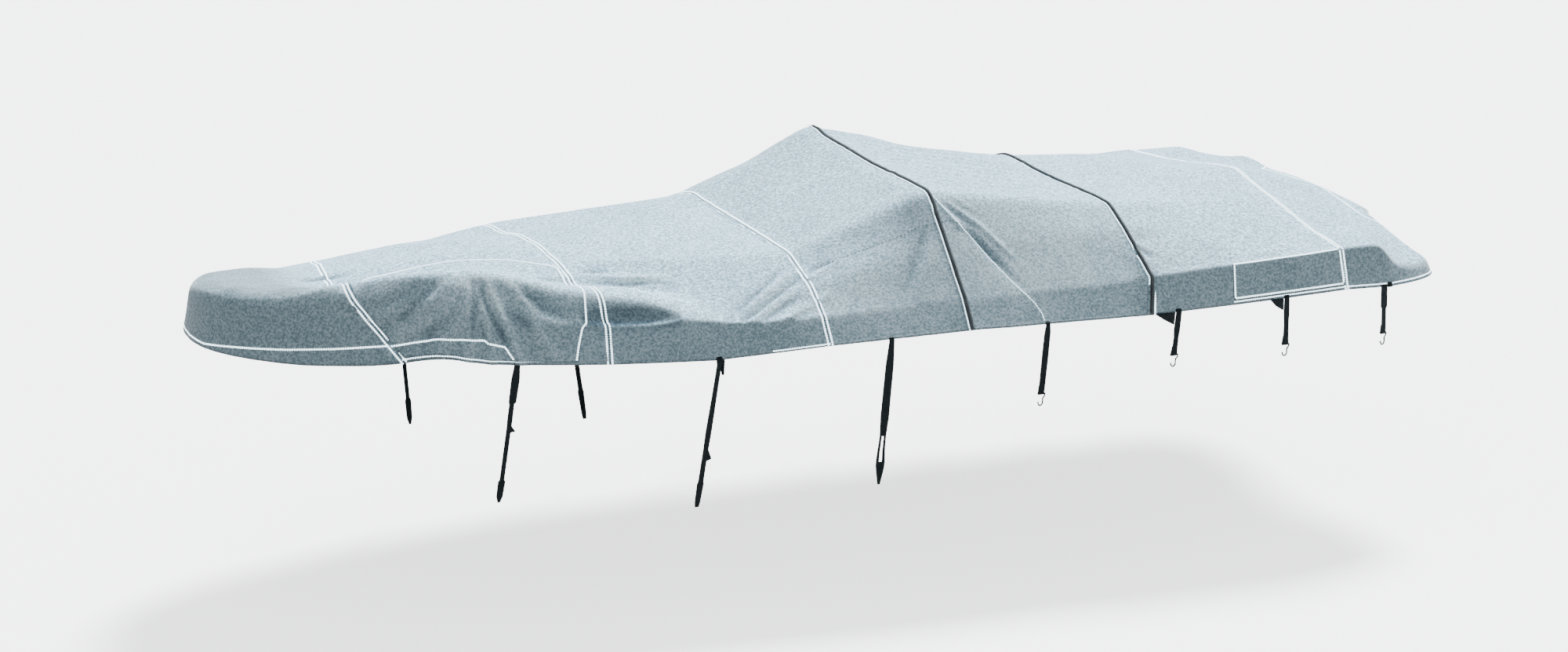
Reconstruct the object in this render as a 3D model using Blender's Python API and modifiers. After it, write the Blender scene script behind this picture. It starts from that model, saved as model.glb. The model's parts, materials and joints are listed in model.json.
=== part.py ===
"""Fitted boat cover, built alone as a hollow cloth shell with its tie-down straps.

X runs from the bow (-X) to the stern (+X), port is -Y and up is +Z.  The origin is on the
centreline, at the windscreen's top edge, where the boat holds the cloth up from below.
Heights in the tables are above the level hem line and are lowered by HELD_HEIGHT.
"""

import math

import bpy
import numpy as np

# ---------------------------------------------------------------- driving dimensions (m)
BOW_X = -3.428           # foremost point of the hem
STERN_X = 2.600          # aftmost point of the hem
WIDEST_X = 0.30          # where the hem is widest
HALF_BEAM = 1.19         # half of the greatest width at the hem
BOW_POWER = (1.80, 0.42)     # plan curve of the bow: half width = (1 - t**a)**b
STERN_POWER = (6.0, 0.070)   # plan curve of the stern: square, with round corners
HELD_HEIGHT = 0.5475     # the origin above the hem line

CLOTH = 0.002            # canvas with its doubled seams
PATCH = 0.0015           # second layer of canvas
WEBBING = 0.0018         # tie-down straps
GAP = 0.0003             # between pieces that are sewn together
LAYER_GAP = 0.0006       # under a second layer
PIPING_RADIUS = 0.0028   # dark cord in two of the seams
WIRE_RADIUS = 0.0022     # strap hooks
ROUND_SIDES = 6          # of cord and wire
CORNER_TUCK = 0.055      # at the stern's corners the skirt hangs nearer plumb by this
EASE = 0.050             # reach over which the taut cloth rounds a support
EASE_STEPS = 5

NOTCH_HALF = 0.30        # half width of the cut-out for the outboard
NOTCH_EDGE = 0.07        # run of its sloping sides
NOTCH_HEIGHT = 0.150     # height of its top above the hem line
NOTCH_REACH = 0.10       # it shows in the hem this far from the stern

# Cross seams, bow to stern: where each crosses the centreline, and how far aft of that
# it meets the skirt's top edge to port, that edge to starboard, and the hem.
SEAMS = {
    "bow": (-2.775, -0.095, 0.120, 0.145),
    "bump": (-1.730, 0.000, 0.000, 0.000),
    "screen_foot": (-0.700, -0.010, -0.010, 0.000),
    "screen_top": (0.000, 0.000, 0.000, 0.000),
    "cockpit": (0.905, 0.060, 0.060, 0.025),
    "rear": (1.990, -0.005, -0.005, 0.000),
}

# Shape of the top over the boat, as stations along it.  inset: from the hem in to the
# skirt's top edge.  half, edge: that edge.  y2, z2 and y1, z1: outer and inner shoulder.
STATION_COLUMNS = ("x", "hem", "inset", "half", "edge", "y2", "z2", "y1", "z1", "crown")
STATIONS = (
    (-3.44, 0.020, 0.032, 0.24, 0.200, 0.17, 0.222, 0.10, 0.240, 0.246),
    (-3.30, 0.012, 0.042, 0.42, 0.190, 0.30, 0.240, 0.18, 0.268, 0.276),
    (-3.05, 0.000, 0.055, 0.56, 0.165, 0.42, 0.215, 0.25, 0.258, 0.270),
    (-2.82, 0.004, 0.060, 0.65, 0.140, 0.50, 0.172, 0.30, 0.212, 0.248),
    (-2.60, 0.012, 0.062, 0.72, 0.135, 0.56, 0.168, 0.34, 0.228, 0.270),
    (-2.20, 0.000, 0.062, 0.85, 0.140, 0.66, 0.186, 0.38, 0.268, 0.300),
    (-1.73, -0.020, 0.062, 0.95, 0.135, 0.66, 0.205, 0.30, 0.280, 0.304),
    (-1.25, -0.030, 0.062, 1.03, 0.118, 0.76, 0.195, 0.42, 0.293, 0.308),
    (-0.70, 0.000, 0.062, 1.08, 0.125, 0.90, 0.226, 0.62, 0.313, 0.315),
    (-0.05, 0.014, 0.062, 1.12, 0.142, 0.87, 0.358, 0.67, 0.560, 0.550),
    (0.05, 0.014, 0.062, 1.12, 0.142, 0.87, 0.358, 0.67, 0.557, 0.546),
    (0.93, -0.004, 0.062, 1.13, 0.158, 0.86, 0.335, 0.69, 0.423, 0.425),
    (1.40, 0.002, 0.062, 1.13, 0.180, 0.85, 0.285, 0.56, 0.365, 0.395),
    (1.99, 0.014, 0.062, 1.12, 0.203, 0.84, 0.226, 0.46, 0.286, 0.360),
    (2.26, 0.000, 0.062, 1.10, 0.207, 0.80, 0.205, 0.44, 0.240, 0.285),
    (2.57, 0.005, 0.085, 1.07, 0.080, 0.72, 0.110, 0.36, 0.188, 0.195),
)

# What the two sides do not share, as ridges (or, below zero, hollows) along each side:
# bow gear to port, a higher windscreen corner and a lower cockpit side to starboard.
RIDGE_COLUMNS = ("x", "y", "inner", "outer", "rise")
PORT_RIDGE = (
    (-3.42, -0.15, 0.26, 0.15, 0.030),
    (-3.30, -0.42, 0.26, 0.15, 0.070),
    (-3.15, -0.52, 0.26, 0.15, 0.110),
    (-3.01, -0.55, 0.26, 0.15, 0.145),
    (-2.82, -0.60, 0.26, 0.15, 0.200),
    (-2.62, -0.66, 0.26, 0.15, 0.250),
    (-2.42, -0.68, 0.26, 0.15, 0.232),
    (-2.27, -0.69, 0.26, 0.15, 0.212),
    (-2.07, -0.72, 0.26, 0.15, 0.160),
    (-1.88, -0.78, 0.24, 0.15, 0.100),
    (-1.75, -0.82, 0.22, 0.15, 0.085),
    (-1.52, -0.88, 0.20, 0.15, 0.058),
    (-1.35, -0.97, 0.18, 0.15, 0.035),
    (-1.10, -1.00, 0.18, 0.15, 0.000),
)
STARBOARD_RIDGE = (
    (-2.00, 0.78, 0.20, 0.30, 0.000),
    (-1.65, 0.80, 0.20, 0.30, 0.048),
    (-1.20, 0.82, 0.20, 0.30, 0.058),
    (-0.75, 0.82, 0.18, 0.22, 0.020),
    (-0.35, 0.82, 0.12, 0.14, 0.058),
    (-0.12, 0.81, 0.11, 0.13, 0.112),
    (0.00, 0.81, 0.10, 0.12, 0.140),
    (0.15, 0.79, 0.12, 0.14, 0.040),
    (0.45, 0.72, 0.16, 0.18, -0.058),
    (0.93, 0.72, 0.20, 0.20, -0.080),
    (1.30, 0.72, 0.20, 0.20, -0.032),
    (1.60, 0.80, 0.20, 0.25, 0.010),
    (1.90, 0.90, 0.20, 0.25, 0.010),
    (2.18, 0.88, 0.20, 0.25, 0.000),
    (2.36, 0.84, 0.20, 0.25, 0.012),
    (2.46, 0.80, 0.22, 0.28, 0.045),
    (2.57, 0.78, 0.25, 0.30, 0.098),
)

# Folds grow out of their first end over a share of their length, and start at a share of
# their rise.  Side folds push the skirt out, and up by a share; they die out over the deck.
FOLD_GROWTH = 0.35
FOLD_ROOT = 0.15
SIDE_FOLD_UP = 0.35
SIDE_FOLD_FADE = 6

# Folds of the pulled cloth on the port side, as lines in side view:
# (x, height) of one end, (x, height) of the other, width, rise.
SIDE_FOLDS = (
    (-2.25, 0.33, -2.76, 0.21, 0.030, 0.008),
    (-2.24, 0.33, -2.66, 0.11, 0.030, 0.009),
    (-2.24, 0.33, -2.47, 0.07, 0.028, 0.011),
    (-2.23, 0.33, -2.36, 0.02, 0.026, 0.011),
    (-2.23, 0.34, -2.26, 0.00, 0.026, 0.012),
    (-2.22, 0.34, -2.13, 0.00, 0.028, 0.012),
    (-2.10, 0.28, -1.98, 0.02, 0.035, 0.007),
    (-0.62, 0.28, -0.98, 0.10, 0.030, 0.006),
    (-0.64, 0.24, -0.82, 0.08, 0.030, 0.005),
)

# Folds of the top, as lines in plan: (x, y) of one end, (x, y) of the other, width, rise.
TOP_FOLDS = (
    (-3.15, -0.22, -2.70, -0.22, 0.040, -0.010),
    (-2.95, -0.10, -2.60, -0.14, 0.035, 0.006),
    (-1.95, -0.45, -1.35, -0.66, 0.060, -0.022),
    (-1.70, -0.30, -1.25, -0.45, 0.060, 0.008),
    (0.88, -0.95, 1.20, -0.86, 0.040, -0.006),
    (2.16, -1.02, 2.30, -1.02, 0.050, 0.008),
)

# ------------------------------------------------------------------------ sampling
DECK_STEPS = (0.0, 0.14, 0.28, 0.40, 0.51, 0.61, 0.70, 0.78, 0.855, 0.925, 0.975, 1.0)
SKIRT_STEPS = (1.0, 0.60, 0.27, 0.09, 0.0)     # from the skirt's top edge down to the hem
PANEL_ROWS = {
    "foredeck": ("bow", "bump", 15),
    "middeck": ("bump", "screen_foot", 10),
    "screen": ("screen_foot", "screen_top", 7),
    "cockpit": ("screen_top", "cockpit", 8),
    "rear": ("cockpit", "rear", 10),
}
SEAM_ROW = 0.022         # each panel has a row this far from its seams
HEM_SAMPLES = 1601       # points along the hem that its even spacing is measured on
BOW_RIBS = 20
STERN_RIBS = 26

# ------------------------------------------------------------------------ straps
STANDOFF = 0.0045        # straps lie this far outside the hem's middle surface
HEM_CLEAR_DROPS = (0.0, 0.006)   # they go straight down past the hem's lower edge
LEAN_FROM = 0.012        # and lean in under the hull from this drop on
LOOP_RADIUS = WIRE_RADIUS + WEBBING / 2 + 2 * GAP    # of the strap's end round a hook's bar
LOOP_STEPS = 6
HOOK_OVERHANG = 0.006    # the hook's bar is wider than half the strap by this
TAIL_DROPS = (0.020, 0.042)      # the end is sewn back up behind the strap this far
TAIL_BEHIND = (1.25, 0.90)       # its distance behind, in loop radii

# Each strap hangs from the hem at x, leans in under the hull by lean for each metre of
# drop, and is a strip whose fore and aft edges stand off its centreline at each drop.
# The rows of the table are (drop, fore, aft).
STRAPS = {
    1: dict(x=-2.146, lean=0.33, aft=-0.10, hook=False, rows=(
        (-0.014, 0.013, 0.013), (0.010, 0.014, 0.014), (0.070, 0.019, 0.020),
        (0.190, 0.017, 0.018), (0.200, 0.013, 0.010), (0.290, 0.013, 0.012),
        (0.315, 0.011, 0.011), (0.345, 0.011, 0.032), (0.350, 0.011, 0.011),
        (0.460, 0.011, 0.011), (0.600, 0.011, 0.011), (0.612, 0.017, 0.017),
        (0.690, 0.016, 0.014), (0.722, 0.007, 0.005))),
    2: dict(x=-1.228, lean=0.40, aft=-0.04, hook=False, rows=(
        (-0.016, 0.010, 0.010), (-0.006, 0.016, 0.016), (0.012, 0.014, 0.014),
        (0.022, 0.011, 0.011), (0.200, 0.012, 0.012), (0.380, 0.015, 0.014),
        (0.480, 0.013, 0.012), (0.535, 0.013, 0.034), (0.545, 0.013, 0.012),
        (0.660, 0.013, 0.013), (0.670, 0.017, 0.016), (0.770, 0.014, 0.013),
        (0.800, 0.010, 0.009))),
    3: dict(x=-0.405, lean=0.24, aft=0.01, hook=False, slit=(0.500, 0.635), rows=(
        (-0.014, 0.013, 0.013), (0.012, 0.013, 0.013), (0.130, 0.020, 0.020),
        (0.300, 0.021, 0.020), (0.390, 0.022, 0.021), (0.470, 0.018, 0.017),
        (0.500, 0.017, 0.015), (0.520, 0.018, 0.015), (0.580, 0.022, 0.016),
        (0.635, 0.024, 0.020), (0.650, 0.024, 0.021), (0.690, 0.018, 0.017),
        (0.755, 0.006, 0.006))),
    4: dict(x=0.384, lean=0.17, aft=0.00, hook=True, rows=(
        (-0.012, 0.011, 0.011), (0.012, 0.012, 0.012), (0.040, 0.016, 0.016),
        (0.160, 0.017, 0.017), (0.300, 0.016, 0.016), (0.355, 0.015, 0.015))),
    5: dict(x=1.072, lean=0.10, aft=-0.04, hook=True, rows=(
        (-0.016, 0.014, 0.014), (0.020, 0.016, 0.015), (0.090, 0.017, 0.016),
        (0.125, 0.013, 0.013), (0.180, 0.014, 0.014), (0.215, 0.016, 0.016))),
    6: dict(x=1.655, lean=0.10, aft=0.06, hook=True, rows=(
        (-0.016, 0.013, 0.013), (0.020, 0.015, 0.014), (0.080, 0.016, 0.015),
        (0.120, 0.013, 0.013), (0.190, 0.014, 0.014), (0.235, 0.016, 0.016))),
    7: dict(x=2.205, lean=0.10, aft=0.10, hook=True, rows=(
        (-0.012, 0.016, 0.018), (0.012, 0.018, 0.019), (0.100, 0.019, 0.019),
        (0.112, 0.013, 0.013), (0.180, 0.013, 0.013), (0.240, 0.014, 0.014))),
}
# Webbing sewn along the hem beside a strap, as corners (aft of the strap, above the hem).
GUSSETS = {
    5: ((-0.128, -0.004), (-0.020, -0.010), (-0.020, -0.062), (-0.075, -0.030)),
    6: ((-0.092, -0.004), (-0.019, -0.010), (-0.019, -0.060), (-0.060, -0.032)),
    7: ((0.021, -0.004), (0.050, -0.004), (0.050, 0.020), (0.021, 0.020)),
}
SIDES = {"port": -1.0, "starboard": 1.0}

# Second layers: the part of the panel's length that each one covers.
STERN_PATCH_X = (1.385, 1.97)
BOW_PATCH_X = (-2.760, -1.76)
BOW_PATCH_REACH = 0.34   # the bow patch ends this share of the way out from the centreline


# ------------------------------------------------------------------------ scene set-up
for leftover in list(bpy.data.objects):
    bpy.data.objects.remove(leftover, do_unlink=True)

cover = bpy.data.collections.new("boat_cover")
bpy.context.scene.collection.children.link(cover)


def material(name, colour, roughness, metallic=0.0):
    """A plain Principled finish."""
    finish = bpy.data.materials.new(name)
    finish.use_nodes = True
    shader = finish.node_tree.nodes["Principled BSDF"]
    shader.inputs["Base Color"].default_value = (*colour, 1.0)
    shader.inputs["Roughness"].default_value = roughness
    shader.inputs["Metallic"].default_value = metallic
    return finish


CANVAS = material("canvas", (0.50, 0.58, 0.62), 0.90)
DARK_CORD = material("dark_cord", (0.02, 0.03, 0.035), 0.80)
BLACK_WEBBING = material("black_webbing", (0.015, 0.022, 0.026), 0.75)
STEEL = material("steel", (0.75, 0.76, 0.78), 0.25, 1.0)


# ------------------------------------------------------------------------ surface
def column(table, names, name, x):
    """One column of a table, read along its x column."""
    rows = np.array(table)
    return np.interp(x, rows[:, names.index("x")], rows[:, names.index(name)])


def hem_plan(end, angle):
    """Point of the hem in plan on the bow or stern curve; angle 0 is on the centreline."""
    power, spread = BOW_POWER if end == "bow" else STERN_POWER
    reach = (BOW_X if end == "bow" else STERN_X) - WIDEST_X
    x = WIDEST_X + reach * np.abs(np.cos(angle)) ** (2.0 / power)
    y = HALF_BEAM * np.sign(angle) * np.abs(np.sin(angle)) ** (2.0 * spread)
    return np.array((x, y))


def hem_angle(end, x):
    """Angle whose hem point is at x."""
    power = (BOW_POWER if end == "bow" else STERN_POWER)[0]
    reach = (BOW_X if end == "bow" else STERN_X) - WIDEST_X
    return math.acos(min(1.0, ((x - WIDEST_X) / reach) ** (power / 2.0)))


def plan_normal(end, angle):
    """Outward direction in plan, square to the hem."""
    step = 1e-3
    along = hem_plan(end, angle + step) - hem_plan(end, angle - step)
    along /= np.linalg.norm(along)
    outward = np.array((along[1], -along[0]))
    return outward if end == "stern" else -outward


def taut_height(x, y):
    """Height of the taut top between its supports, straight from one to the next."""
    level = {name: column(STATIONS, STATION_COLUMNS, name, x) for name in STATION_COLUMNS}
    reach = np.abs(y)
    inner = level["crown"] + (level["z1"] - level["crown"]) * reach / level["y1"]
    middle = level["z1"] + ((level["z2"] - level["z1"]) * (reach - level["y1"])
                            / (level["y2"] - level["y1"]))
    share = np.clip((reach - level["y2"]) / (level["half"] - level["y2"]), 0.0, 1.0)
    outer = level["z2"] + (level["edge"] - level["z2"]) * share
    return np.where(reach < level["y1"], inner, np.where(reach < level["y2"], middle, outer))


def ridge_height(ridge, x, y):
    """Lift of one side's ridge, which falls away to each side of its line."""
    level = {name: column(ridge, RIDGE_COLUMNS, name, x) for name in RIDGE_COLUMNS}
    inside = np.abs(y) < np.abs(level["y"])
    width = np.where(inside, level["inner"], level["outer"])
    return level["rise"] * np.exp(-((y - level["y"]) / width) ** 2)


def fold_lift(table, u, v):
    """Sum of soft ridges along the table's straight lines, each fading at its ends."""
    total = np.zeros(np.broadcast(u, v).shape)
    for u0, v0, u1, v1, width, rise in table:
        run = np.array((u1 - u0, v1 - v0))
        length = np.linalg.norm(run)
        along = ((u - u0) * run[0] + (v - v0) * run[1]) / length
        across = ((u - u0) * run[1] - (v - v0) * run[0]) / length
        beyond = np.maximum(0.0, np.maximum(-along, along - length))
        start = np.clip(along / (FOLD_GROWTH * length), FOLD_ROOT, 1.0)
        total = total + rise * start * np.exp(-(across / width) ** 2 - (beyond / width) ** 2)
    return total


def top_height(x, y):
    """Height of the top: the taut shape with its ridges, rounded over them, and the folds."""
    offsets = np.linspace(-EASE, EASE, EASE_STEPS)
    total = 0.0
    for dx in offsets:
        for dy in offsets:
            total = total + taut_height(x + dx, y + dy)
            total = total + ridge_height(PORT_RIDGE, x + dx, y + dy)
            total = total + ridge_height(STARBOARD_RIDGE, x + dx, y + dy)
    return total / EASE_STEPS ** 2 + fold_lift(TOP_FOLDS, x, y)


def hem_height(x, y):
    """Height of the hem, with the cut-out for the outboard in the stern."""
    level = column(STATIONS, STATION_COLUMNS, "hem", x)
    share = np.clip((NOTCH_HALF + NOTCH_EDGE - np.abs(y)) / NOTCH_EDGE, 0.0, 1.0)
    share = share * share * (3.0 - 2.0 * share) * (x > STERN_X - NOTCH_REACH)
    return level + (NOTCH_HEIGHT - level) * share


def rib(root_x, end, edge_angle, hem_turn):
    """Points of the cloth from the centreline out to the skirt's top edge and the hem."""
    hem = hem_plan(end, hem_turn)
    outward = plan_normal(end, edge_angle)
    above = hem_plan(end, edge_angle)
    inset = column(STATIONS, STATION_COLUMNS, "inset", above[0])
    if end == "stern":
        inset -= CORNER_TUCK * 2.0 * abs(outward[0] * outward[1])
    edge = above - inset * outward
    root = np.array((root_x, 0.0))
    deck = root + np.outer(DECK_STEPS, edge - root)
    deck_z = top_height(deck[:, 0], deck[:, 1])
    hem_z = hem_height(hem[0], hem[1])
    shares = np.array(SKIRT_STEPS[1:])
    skirt = hem + np.outer(shares, edge - hem)
    skirt_z = hem_z + (deck_z[-1] - hem_z) * shares
    points = np.vstack((np.column_stack((deck, deck_z)), np.column_stack((skirt, skirt_z))))
    if edge_angle < 0.0:
        side = np.concatenate((np.array(DECK_STEPS) ** SIDE_FOLD_FADE, np.ones(len(shares))))
        lift = side * fold_lift(SIDE_FOLDS, points[:, 0], points[:, 2])
        points += np.outer(lift, (outward[0], outward[1], SIDE_FOLD_UP))
    points[:, 2] -= HELD_HEIGHT
    return points


def cross_row(root_x, port_sweep, starboard_sweep, hem_sweep):
    """A row across the cover, port hem to starboard hem, that crosses the centre at root_x."""
    end = "bow" if root_x < WIDEST_X else "stern"
    hem = hem_angle(end, root_x + hem_sweep)
    port = rib(root_x, end, -hem_angle(end, root_x + port_sweep), -hem)
    starboard = rib(root_x, end, hem_angle(end, root_x + starboard_sweep), hem)
    return np.vstack((port[::-1], starboard[1:]))


def panel_rows(first, last, count):
    """Rows of a panel between two seams, each edge half a gap from its seam."""
    start, finish = np.array(SEAMS[first]), np.array(SEAMS[last])
    low, high = start[0] + GAP / 2, finish[0] - GAP / 2
    places = np.concatenate(((low,), np.linspace(low + SEAM_ROW, high - SEAM_ROW, count), (high,)))
    shares = (places - start[0]) / (finish[0] - start[0])
    sweeps = start[1:] + np.outer(shares, finish[1:] - start[1:])
    return places, np.array([cross_row(x, *sweep) for x, sweep in zip(places, sweeps)])


def even_angles(end, first, last, count):
    """Angles of points evenly spaced along the hem round one end, with one close to each end."""
    spread = (BOW_POWER if end == "bow" else STERN_POWER)[1]
    share = np.linspace(-1.0, 1.0, HEM_SAMPLES)
    bent = np.abs(share) ** max(1.0, 0.5 / spread)
    fine = np.where(share < 0.0, first, last) * bent
    line = np.array([hem_plan(end, a) for a in fine])
    run = np.concatenate(((0.0,), np.cumsum(np.linalg.norm(np.diff(line, axis=0), axis=1))))
    even = np.linspace(0.0, run[-1], count + 1)
    places = np.sort(np.concatenate((even, (SEAM_ROW, run[-1] - SEAM_ROW))))
    return np.interp(places, run, fine)


def fan_ribs(end, seam, count):
    """Ribs of an end panel: all start at the seam's middle and fan out round the end."""
    x, port_sweep, starboard_sweep, hem_sweep = SEAMS[seam]
    root_x = x - GAP if end == "bow" else x + GAP
    port = -hem_angle(end, root_x + port_sweep)
    edges = even_angles(end, port, hem_angle(end, root_x + starboard_sweep), count)
    hem = hem_angle(end, root_x + hem_sweep)
    hems = even_angles(end, -hem, hem, count)
    return np.array([rib(root_x, end, edge, turn) for edge, turn in zip(edges, hems)])


def grid_normals(grid):
    """Directions off a grid of points, long enough at a bend to keep an even distance."""
    ahead = grid[1:] - grid[:-1]
    across = grid[:, 1:] - grid[:, :-1]
    faces = np.cross(ahead[:, :-1] + ahead[:, 1:], across[:-1] + across[1:])
    faces /= np.linalg.norm(faces, axis=2, keepdims=True)
    padded = np.pad(faces, ((1, 1), (1, 1), (0, 0)), mode="edge")
    around = np.array((padded[:-1, :-1], padded[:-1, 1:], padded[1:, :-1], padded[1:, 1:]))
    normals = around.sum(axis=0)
    normals /= np.linalg.norm(normals, axis=2, keepdims=True)
    leaning = (around * normals).sum(axis=3).min(axis=0)
    return normals / leaning[:, :, None]


# ------------------------------------------------------------------------ mesh builders
def sheet_object(name, points, faces, thickness, finish):
    """An open sheet of points thickened evenly to both sides."""
    mesh = bpy.data.meshes.new(name)
    mesh.from_pydata([tuple(map(float, p)) for p in points], [], faces)
    mesh.validate()
    mesh.materials.append(finish)
    mesh.shade_smooth()
    piece = bpy.data.objects.new(name, mesh)
    cover.objects.link(piece)
    solid = piece.modifiers.new("thickness", "SOLIDIFY")
    solid.thickness = thickness
    solid.offset = 0.0
    solid.use_even_offset = True
    return piece


def grid_faces(rows, columns, skip=()):
    """Quads of a grid, facing up where rows run aft and columns run to starboard."""
    faces = []
    for i in range(rows - 1):
        for j in range(columns - 1):
            if (i, j) in skip:
                continue
            a = i * columns + j
            faces.append((a, a + columns, a + columns + 1, a + 1))
    return faces


def fan_object(name, ribs, end, finish):
    """An end panel: ribs that share their first point, joined round the end."""
    count, steps, _ = ribs.shape
    points = np.vstack((ribs[0, :1], ribs[:, 1:].reshape(-1, 3)))
    width = steps - 1
    faces = []
    for k in range(count - 1):
        a = 1 + k * width
        b = a + width
        faces.append((0, b, a))
        for r in range(width - 1):
            faces.append((a + r, b + r, b + r + 1, a + r + 1))
    if end == "stern":
        faces = [face[::-1] for face in faces]
    return sheet_object(name, points, faces, CLOTH, finish)


def tube(name, points, radius, finish):
    """A round cord or wire along a line of points, with closed ends."""
    data = bpy.data.curves.new(name, "CURVE")
    data.dimensions = "3D"
    data.bevel_depth = radius
    data.bevel_resolution = (ROUND_SIDES - 4) // 2
    data.use_fill_caps = True
    line = data.splines.new("POLY")
    line.points.add(len(points) - 1)
    for knot, place in zip(line.points, points):
        knot.co = (*place, 1.0)
    data.materials.append(finish)
    piece = bpy.data.objects.new(name, data)
    cover.objects.link(piece)
    return piece


# ------------------------------------------------------------------------ panels
panels = {}
for panel, (first, last, count) in PANEL_ROWS.items():
    places, grid = panel_rows(first, last, count)
    panels[panel] = (places, grid)
    sheet_object("panel_" + panel, grid.reshape(-1, 3), grid_faces(*grid.shape[:2]), CLOTH, CANVAS)

fan_object("panel_bow", fan_ribs("bow", "bow", BOW_RIBS), "bow", CANVAS)
fan_object("panel_stern", fan_ribs("stern", "rear", STERN_RIBS), "stern", CANVAS)


# ------------------------------------------------------------------------ second layers
def patch_object(name, panel, x_range, columns):
    """A second layer on part of a panel, on the same grid so that it lies parallel."""
    places, grid = panels[panel]
    keep = (places >= x_range[0]) & (places <= x_range[1])
    lift = (CLOTH + PATCH) / 2 + LAYER_GAP
    raised = grid + grid_normals(grid) * lift
    piece = raised[keep][:, columns]
    return sheet_object(name, piece.reshape(-1, 3), grid_faces(*piece.shape[:2]), PATCH, CANVAS)


# Columns of a row, port to starboard: skirt from its hem up, then the deck, and mirrored.
SKIRT_COLUMNS = len(SKIRT_STEPS) - 1
ROW_COLUMNS = 2 * (len(DECK_STEPS) + SKIRT_COLUMNS) - 1
port_skirt = slice(2, SKIRT_COLUMNS + 2)
starboard_skirt = slice(ROW_COLUMNS - SKIRT_COLUMNS - 2, ROW_COLUMNS - 2)
bow_patch_end = SKIRT_COLUMNS + sum(1 for step in DECK_STEPS if step >= BOW_PATCH_REACH)

patch_object("patch_bow_port", "foredeck", BOW_PATCH_X, slice(1, bow_patch_end))
patch_object("patch_stern_port", "rear", STERN_PATCH_X, port_skirt)
patch_object("patch_stern_starboard", "rear", STERN_PATCH_X, starboard_skirt)

# ------------------------------------------------------------------------ piping
for name, panel in (("piping_screen", "cockpit"), ("piping_rear", "rear")):
    places, grid = panels[panel]
    normals = grid_normals(grid)
    lift = CLOTH / 2 + LAYER_GAP + PIPING_RADIUS
    tube(name, (grid + normals * lift)[0], PIPING_RADIUS, DARK_CORD)


# ------------------------------------------------------------------------ straps
def hem_frame(x, side):
    """Hem point at x on one side, its outward plan direction and the skirt's upward slope."""
    end = "bow" if x < WIDEST_X else "stern"
    angle = hem_angle(end, x) * side
    outward = plan_normal(end, angle)
    points = rib(x, end, angle, angle)
    return points[-1], outward, points[-2] - points[-1]


def strap_point(frame, along, drop, lean, aft):
    """Point of a strap: along the hem, and below it where drop is positive."""
    hem, outward, slope = frame
    tangent = np.array((-outward[1], outward[0], 0.0))
    tangent *= np.sign(tangent[0])
    base = hem + np.array((*outward, 0.0)) * STANDOFF + tangent * (along + aft * max(drop, 0.0))
    if drop < 0.0:
        return base + slope * (-drop / slope[2])
    down = np.array((0.0, 0.0, -drop))
    return base + down - np.array((*outward, 0.0)) * lean * max(0.0, drop - LEAN_FROM)


def strap_loop_rows(rows, radius):
    """Extra rows that carry the strap's end round the hook's bar and back up behind it."""
    drop, fore, aft = rows[-1]
    bend = [(drop + radius * math.sin(t), radius * (1.0 - math.cos(t)), fore, aft)
            for t in np.linspace(0.0, math.pi, LOOP_STEPS)]
    tail = [(drop - up, behind * radius, fore, aft) for up, behind in zip(TAIL_DROPS, TAIL_BEHIND)]
    return bend + tail


def strap_object(number, strap, side_name):
    """One tie-down strap as a strip; a slit leaves out its middle faces."""
    side = SIDES[side_name]
    frame = hem_frame(strap["x"], side)
    inward = -np.array((*frame[1], 0.0))
    columns = 4 if "slit" in strap else 2
    rows = [(drop, 0.0, fore, aft) for drop, fore, aft in strap["rows"]]
    at_hem = [(drop, 0.0, *rows[1][2:]) for drop in HEM_CLEAR_DROPS]
    above = [row for row in rows if row[0] < 0.0]
    rows = above + at_hem + [row for row in rows if row[0] > HEM_CLEAR_DROPS[-1]]
    if strap["hook"]:
        rows = rows[:-1] + strap_loop_rows(strap["rows"], LOOP_RADIUS)
    points = []
    for drop, behind, fore, aft in rows:
        edges = np.linspace(-fore, aft, columns)
        for along in edges:
            points.append(strap_point(frame, along, drop, strap["lean"], strap["aft"])
                          + inward * behind)
    top, bottom = strap.get("slit", (0.0, 0.0))
    skip = {(i, 1) for i, row in enumerate(rows) if top <= row[0] < bottom}
    faces = grid_faces(len(rows), columns, skip)
    if side > 0.0:
        faces = [face[::-1] for face in faces]
    return sheet_object(f"strap_{side_name}_{number}", points, faces, WEBBING, BLACK_WEBBING)


def hook_object(number, strap, side_name):
    """A bent wire hook: a bar in the strap's loop, a shank down each way and an open tip."""
    side = SIDES[side_name]
    frame = hem_frame(strap["x"], side)
    outward = np.array((*frame[1], 0.0))
    drop, fore, aft = strap["rows"][-1]
    centre = strap_point(frame, 0.0, drop, strap["lean"], strap["aft"]) - outward * LOOP_RADIUS
    tangent = np.array((-outward[1], outward[0], 0.0))
    tangent *= np.sign(tangent[0])
    half = fore + HOOK_OVERHANG
    # (along the bar, up, outward) in metres, from the bar's middle
    path = (
        (-half + 0.004, 0.0, 0.0), (0.0, 0.0, 0.0), (half - 0.003, 0.0, 0.0),
        (half, -0.004, 0.0), (half - 0.003, -0.014, 0.0), (half * 0.45, -0.024, 0.002),
        (half * 0.35, -0.044, 0.004), (half * 0.1, -0.054, 0.004), (-half * 0.35, -0.056, 0.004),
        (-half * 0.7, -0.048, 0.004), (-half * 0.75, -0.038, 0.004),
    )
    up = np.array((0.0, 0.0, 1.0))
    places = [centre + tangent * a + up * b + outward * c for a, b, c in path]
    return tube(f"hook_{side_name}_{number}", places, WIRE_RADIUS, STEEL)


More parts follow.
